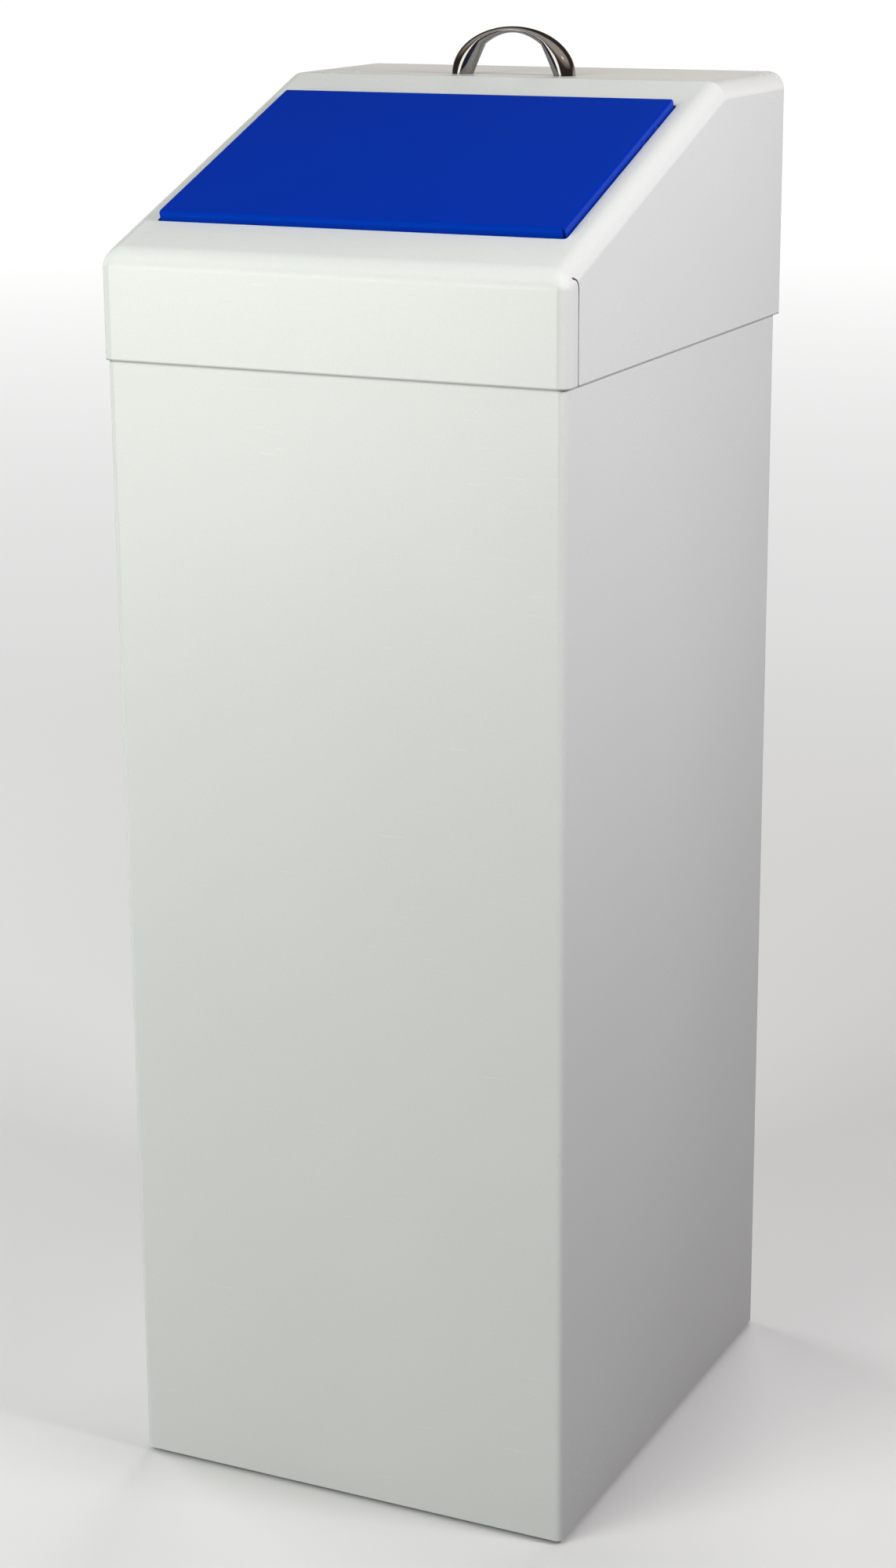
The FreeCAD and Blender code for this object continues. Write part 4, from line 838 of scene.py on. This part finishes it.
def clip(name, rim, height):
    """Domed push-on clip: a ring whose inner edge is cut into teeth."""
    bore = rim - 2.4 * MM

    def tooth(angle):
        gap = abs(((angle * CLIP_TEETH / FULL_TURN) % 1) - 0.5)
        return 1.0 if gap < 0.36 else 1.22

    profile = [(bore, height * 0.72), (bore * 1.25, height * 0.98), (rim * 0.72, height),
               (rim * 0.93, height * 0.55), (rim, height * 0.3), (rim, 0), (rim * 0.9, 0),
               (rim * 0.7, height * 0.5), (bore * 1.2, height * 0.6), (bore, height * 0.5)]
    form = bmesh.new()
    rings = turned(form, profile, 72, {0: tooth, len(profile) - 1: tooth})
    bridge(form, rings[-1], rings[0])
    return to_piece(name, form, FINISHES["zinc_steel"])


def rivet(name, rim, length):
    """Rivet along z: a low dome outside and a wider one inside."""
    outside = length - 0.4 * MM
    shank = rim * 0.58
    profile = [(0, -1.0 * MM), (rim * 0.35, -0.97 * MM), (rim * 0.7, -0.8 * MM), (rim * 0.95, -0.35 * MM),
               (rim, 0), (shank, 0), (shank, outside), (rim, outside), (rim * 0.9, outside + 0.2 * MM),
               (rim * 0.6, outside + 0.34 * MM), (0, length)]
    form = bmesh.new()
    turned(form, profile, 40)
    return to_piece(name, form, FINISHES["zinc_steel"])


# ------------------------------------------------------------------ rubber, edging and welds


class DROPBOX_OT_feet(bpy.types.Operator):
    """Build the ribbed rubber feet"""

    bl_idname = "dropbox.feet"
    bl_label = "Rubber feet"

    def execute(self, context):
        for end in ("front", "rear"):
            for side in ("left", "right"):
                build_foot(f"{end}_{side}")
        return {"FINISHED"}


def build_foot(corner):
    """One foot: tread rings below, a grooved flank and a recess for the screw."""
    low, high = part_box(f"foot_{corner}")
    middle = middle_of(low, high)
    wide = (high[0] - low[0]) / 2
    tall = high[2] - low[2]
    bore, recess, neck = 2.8 * MM, 5.3 * MM, wide - 2.0 * MM
    tread = []
    for ring in (recess + 1.6 * MM, recess + 4.4 * MM):
        tread += [(ring, 0), (ring + 0.3 * MM, 0.7 * MM), (ring + 0.9 * MM, 0.7 * MM), (ring + 1.2 * MM, 0)]
    flank = []
    for share_up in (0.25, 0.45, 0.65):
        level = tall * share_up
        reach = wide + (neck - wide) * share_up
        flank += [(reach, level), (reach - 0.5 * MM, level + 0.35 * MM), (reach - 0.5 * MM, level + 0.9 * MM),
                  (reach - 0.1 * MM, level + 1.25 * MM)]
    loop = [(bore, tall), (bore, tall / 2), (recess, tall / 2), (recess, 0.4 * MM), (recess + 0.4 * MM, 0)]
    loop += tread + [(wide - 0.6 * MM, 0), (wide, 0.6 * MM)] + flank
    loop += [(neck, tall - 0.5 * MM), (neck - 0.5 * MM, tall), (bore, tall)]
    form = bmesh.new()
    turned(form, loop, 64, place=Matrix.Translation((middle.x, middle.y, low[2])))
    piece = to_piece(f"foot_{corner}_moulding", form, FINISHES["rubber"])
    declare(piece, "cabinet", "rubber", f"foot_{corner}")


class DROPBOX_OT_edgings(bpy.types.Operator):
    """Build the rounded edgings of the hand slots"""

    bl_idname = "dropbox.edgings"
    bl_label = "Slot edgings"

    def execute(self, context):
        for side, word in zip(SIDES, ("left", "right")):
            build_edging(side, word)
        return {"FINISHED"}


EDGING_ARC = 20


def build_edging(side, word):
    """A rounded channel that runs round one slot and grips the wall from both faces."""
    low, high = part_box(f"grip_trim_{word}")
    middle = middle_of(low, high)
    half_thick = (high[0] - low[0]) / 2
    lip, inner, wall = 4.0 * MM, -1.5 * MM, 0.42 * MM
    radius = (high[2] - low[2]) / 2 - lip
    straight = (high[1] - low[1]) / 2 - lip - radius
    grip = lip - 1.2 * MM
    section = soften([(grip, wall), (lip, wall), (lip, half_thick), (inner, half_thick), (inner, -half_thick),
                      (lip, -half_thick), (lip, -wall), (grip, -wall)], 0.8 * MM, 5)
    section += [(0.1 * MM, -wall), (0.0, 0.0), (0.1 * MM, wall)]
    form = bmesh.new()
    rings = []
    for end in (1, -1):
        for step in range(EDGING_ARC + 1):
            angle = -end * math.pi / 2 + math.pi * step / EDGING_ARC
            out = Vector((0, math.cos(angle), math.sin(angle)))
            spot = Vector((middle.x, middle.y + end * straight, middle.z)) + out * radius
            rings.append([form.verts.new(spot + out * away + Vector((through, 0, 0)))
                          for away, through in section])
    for start, end_ring in zip(rings, rings[1:] + rings[:1]):
        bridge(form, start, end_ring)
    piece = to_piece(f"slot_edging_{word}", form, FINISHES["trim_plastic"], 40)
    declare(piece, "inner_bin", "trim_plastic", f"grip_trim_{word}")


class DROPBOX_OT_spot_welds(bpy.types.Operator):
    """Press a row of spot welds into each return flange at the back"""

    bl_idname = "dropbox.spot_welds"
    bl_label = "Spot welds"

    def execute(self, context):
        settings = context.scene.dropbox_weld
        reach, height = settings.radius, settings.height
        profile = [(0, height * 0.25), (reach * 0.55, height * 0.3), (reach * 0.72, height * 0.9),
                   (reach * 0.85, height), (reach, height * 0.35), (reach * 1.15, -0.05 * MM),
                   (0, -0.06 * MM)]
        form = bmesh.new()
        turned(form, profile, 32)
        dimple = to_piece("weld", form, FINISHES["white_coat"])
        across = WRAP_HIGH[0] - WELD_INSET
        bottom, top = WRAP_LOW[2] + FIRST_WELD, HEM_HEIGHT - LAST_WELD
        count = int((top - bottom) / settings.pitch) + 1
        pitch = (top - bottom) / (count - 1)
        spots = [(Vector((side * across, WRAP_HIGH[1], bottom + index * pitch)), (0, 1, 0))
                 for side in SIDES for index in range(count)]
        piece = copies("back_welds", dimple, spots, FINISHES["white_coat"])
        declare(piece, "cabinet", "white_coat")
        return {"FINISHED"}


WELD_INSET = 8 * MM  # from the cabinet's side
FIRST_WELD = 24 * MM  # above the cabinet's lower edge
LAST_WELD = 12 * MM  # below the hood's hem


# ------------------------------------------------------------------ stage


class DROPBOX_OT_stage(bpy.types.Operator):
    """Set a pale floor, the lights and the camera"""

    bl_idname = "dropbox.stage"
    bl_label = "Stage"

    def execute(self, context):
        settings = context.scene.dropbox_studio
        lay_floor()
        light_surround(context.scene, settings.sky)
        for name, place, target, width, height, power, colour, mirrored in LAMPS:
            lamp = area_light(name, place, target, (width, height), power, colour)
            lamp.visible_glossy = mirrored
        aim_camera(context.scene, settings.lens)
        return {"FINISHED"}


# name, place, target, width, height, power, colour, whether gloss mirrors it
LAMPS = (
    ("Card", (-0.98, -2.02, 0.64), (0, -0.15, 0.64), 0.85, 1.18, 9.0, (1.0, 0.98, 0.98), True),
    ("Strip", (-0.98, -2.02, 0.70), (0, -0.15, 0.70), 0.85, 0.30, 9, (0.95, 1.0, 0.82), True),
    ("Front", (-0.50, -1.30, 1.40), (0, -0.15, 0.80), 1.0, 0.8, 13.5, (0.95, 1.0, 0.96), False),
    ("Top", (0.10, -0.20, 2.00), (0, 0, 0.79), 0.8, 0.8, 1.6, (1.0, 0.98, 0.97), False),
    ("Side", (1.05, -0.10, 1.12), (0.13, 0, 0.62), 0.3, 0.3, 10.3, (1.0, 0.98, 1.0), False),
    ("Rear", (-0.20, 2.20, 2.00), (0, 0.15, 0.45), 1.3, 1.3, 28, (1.0, 0.99, 0.97), False),
    ("Left", (-2.10, 0.55, 1.00), (-0.13, 0, 0.45), 1.0, 1.4, 22, (1.0, 1.0, 1.0), False),
    ("Glint", (0.80, -0.75, 1.60), (0, 0.08, 0.80), 0.10, 0.10, 0.3, (1.0, 0.42, 0.25), True),
)


FLOOR = 30.0  # half the floor's side


def lay_floor():
    """A wide floor plane under the feet."""
    mesh = bpy.data.meshes.new("floor")
    corners = [(-FLOOR, -FLOOR, 0), (FLOOR, -FLOOR, 0), (FLOOR, FLOOR, 0), (-FLOOR, FLOOR, 0)]
    mesh.from_pydata(corners, [], [(0, 1, 2, 3)])
    mesh.materials.append(floor_material())
    link(bpy.data.objects.new("floor", mesh))


def light_surround(scene, strength):
    """A dim surround, seen white; gloss sees it pale above the front and low behind, else a warm grey."""
    world = bpy.data.worlds.new("Studio")
    world.use_nodes = True
    tree = world.node_tree
    back = tree.nodes["Background"]
    ray = add(tree, "ShaderNodeLightPath")
    mirrored, shown = ray.outputs["Is Glossy Ray"], ray.outputs["Is Camera Ray"]
    way = add(tree, "ShaderNodeSeparateXYZ", {0: add(tree, "ShaderNodeTexCoord").outputs["Generated"]})
    high = share(tree, way.outputs["Z"], 0.25, 0.55, 0.0, 1.0)
    front = share(tree, way.outputs["Y"], 0.25, -0.05, 0.0, 0.75)
    behind = share(tree, way.outputs["Y"], 0.3, 0.6, 0.0, 0.7)
    low = share(tree, way.outputs["Z"], 0.28, 0.05, 0.0, 1.0)
    pale = plus(tree, times(tree, high, front), times(tree, behind, low))
    seen = plus(tree, pale, 0.07)
    colour = blend_colours(tree, pale, (1.0, 0.80, 0.66, 1.0), (1.0, 0.99, 0.97, 1.0))
    colour = blend_colours(tree, shown, colour, WHITE)
    tree.links.new(colour, back.inputs["Color"])
    power = add(tree, "ShaderNodeMix", {"Factor": mirrored, "A": strength, "B": seen}, data_type="FLOAT")
    tree.links.new(plus(tree, power.outputs["Result"], shown), back.inputs["Strength"])
    scene.world = world
    scene.view_settings.view_transform = "Standard"


def area_light(name, place, target, size, power, colour):
    """A soft rectangular light that faces a point."""
    lamp = bpy.data.lights.new(name, "AREA")
    lamp.shape = "RECTANGLE"
    lamp.size, lamp.size_y = size
    lamp.energy = power
    lamp.color = colour
    stand = link(bpy.data.objects.new(name, lamp))
    stand.location = place
    stand.rotation_euler = (Vector(target) - Vector(place)).to_track_quat("-Z", "Y").to_euler()
    return stand


CAMERA_PLACE = (0.7477, -1.5821, 0.8976)
CAMERA_AZIMUTH = math.radians(25.50)
CAMERA_ELEVATION = math.radians(16.24)
CAMERA_ROLL = math.radians(-0.397)


def aim_camera(scene, lens):
    """A camera right of the front and a little above the hood."""
    data = bpy.data.cameras.new("Camera")
    data.lens = lens
    data.sensor_width = 36
    camera = link(bpy.data.objects.new("Camera", data))
    turn = Matrix.Rotation(CAMERA_AZIMUTH, 4, "Z")
    tip = Matrix.Rotation(math.pi / 2 - CAMERA_ELEVATION, 4, "X")
    roll = Matrix.Rotation(CAMERA_ROLL, 4, "Z")
    camera.matrix_world = Matrix.Translation(CAMERA_PLACE) @ turn @ tip @ roll
    scene.camera = camera


# ------------------------------------------------------------------ add-on


class DROPBOX_PT_panel(bpy.types.Panel):
    """Lists the settings and the steps"""

    bl_label = "Drop box"
    bl_idname = "DROPBOX_PT_panel"
    bl_space_type = "VIEW_3D"
    bl_region_type = "UI"
    bl_category = "Drop box"

    def draw(self, context):
        scene = context.scene
        for group in (scene.dropbox_coat, scene.dropbox_handle, scene.dropbox_weld, scene.dropbox_studio):
            box = self.layout.box()
            for name in group.__annotations__:
                box.prop(group, name)
        for step in STEPS:
            self.layout.operator(step.bl_idname)


SETTINGS = (CoatSettings, HandleSettings, WeldSettings, StudioSettings)
STEPS = (
    DROPBOX_OT_finish_sheets, DROPBOX_OT_bow_handle, DROPBOX_OT_screws, DROPBOX_OT_rod_ends, DROPBOX_OT_feet,
    DROPBOX_OT_edgings, DROPBOX_OT_spot_welds, DROPBOX_OT_stage)
CLASSES = SETTINGS + STEPS + (DROPBOX_PT_panel,)


def register():
    """Register the classes and hang the settings on the scene."""
    for item in CLASSES:
        bpy.utils.register_class(item)
    bpy.types.Scene.dropbox_coat = PointerProperty(type=CoatSettings)
    bpy.types.Scene.dropbox_handle = PointerProperty(type=HandleSettings)
    bpy.types.Scene.dropbox_weld = PointerProperty(type=WeldSettings)
    bpy.types.Scene.dropbox_studio = PointerProperty(type=StudioSettings)


def unregister():
    """Take the settings and the classes away again."""
    for name in ("dropbox_coat", "dropbox_handle", "dropbox_weld", "dropbox_studio"):
        delattr(bpy.types.Scene, name)
    for item in reversed(CLASSES):
        bpy.utils.unregister_class(item)


def main():
    """Build everything in order."""
    register()
    bpy.ops.dropbox.finish_sheets()
    bpy.ops.dropbox.bow_handle()
    bpy.ops.dropbox.screws()
    bpy.ops.dropbox.rod_ends()
    bpy.ops.dropbox.feet()
    bpy.ops.dropbox.edgings()
    bpy.ops.dropbox.spot_welds()
    bpy.ops.dropbox.stage()


if __name__ == "__main__":
    main()
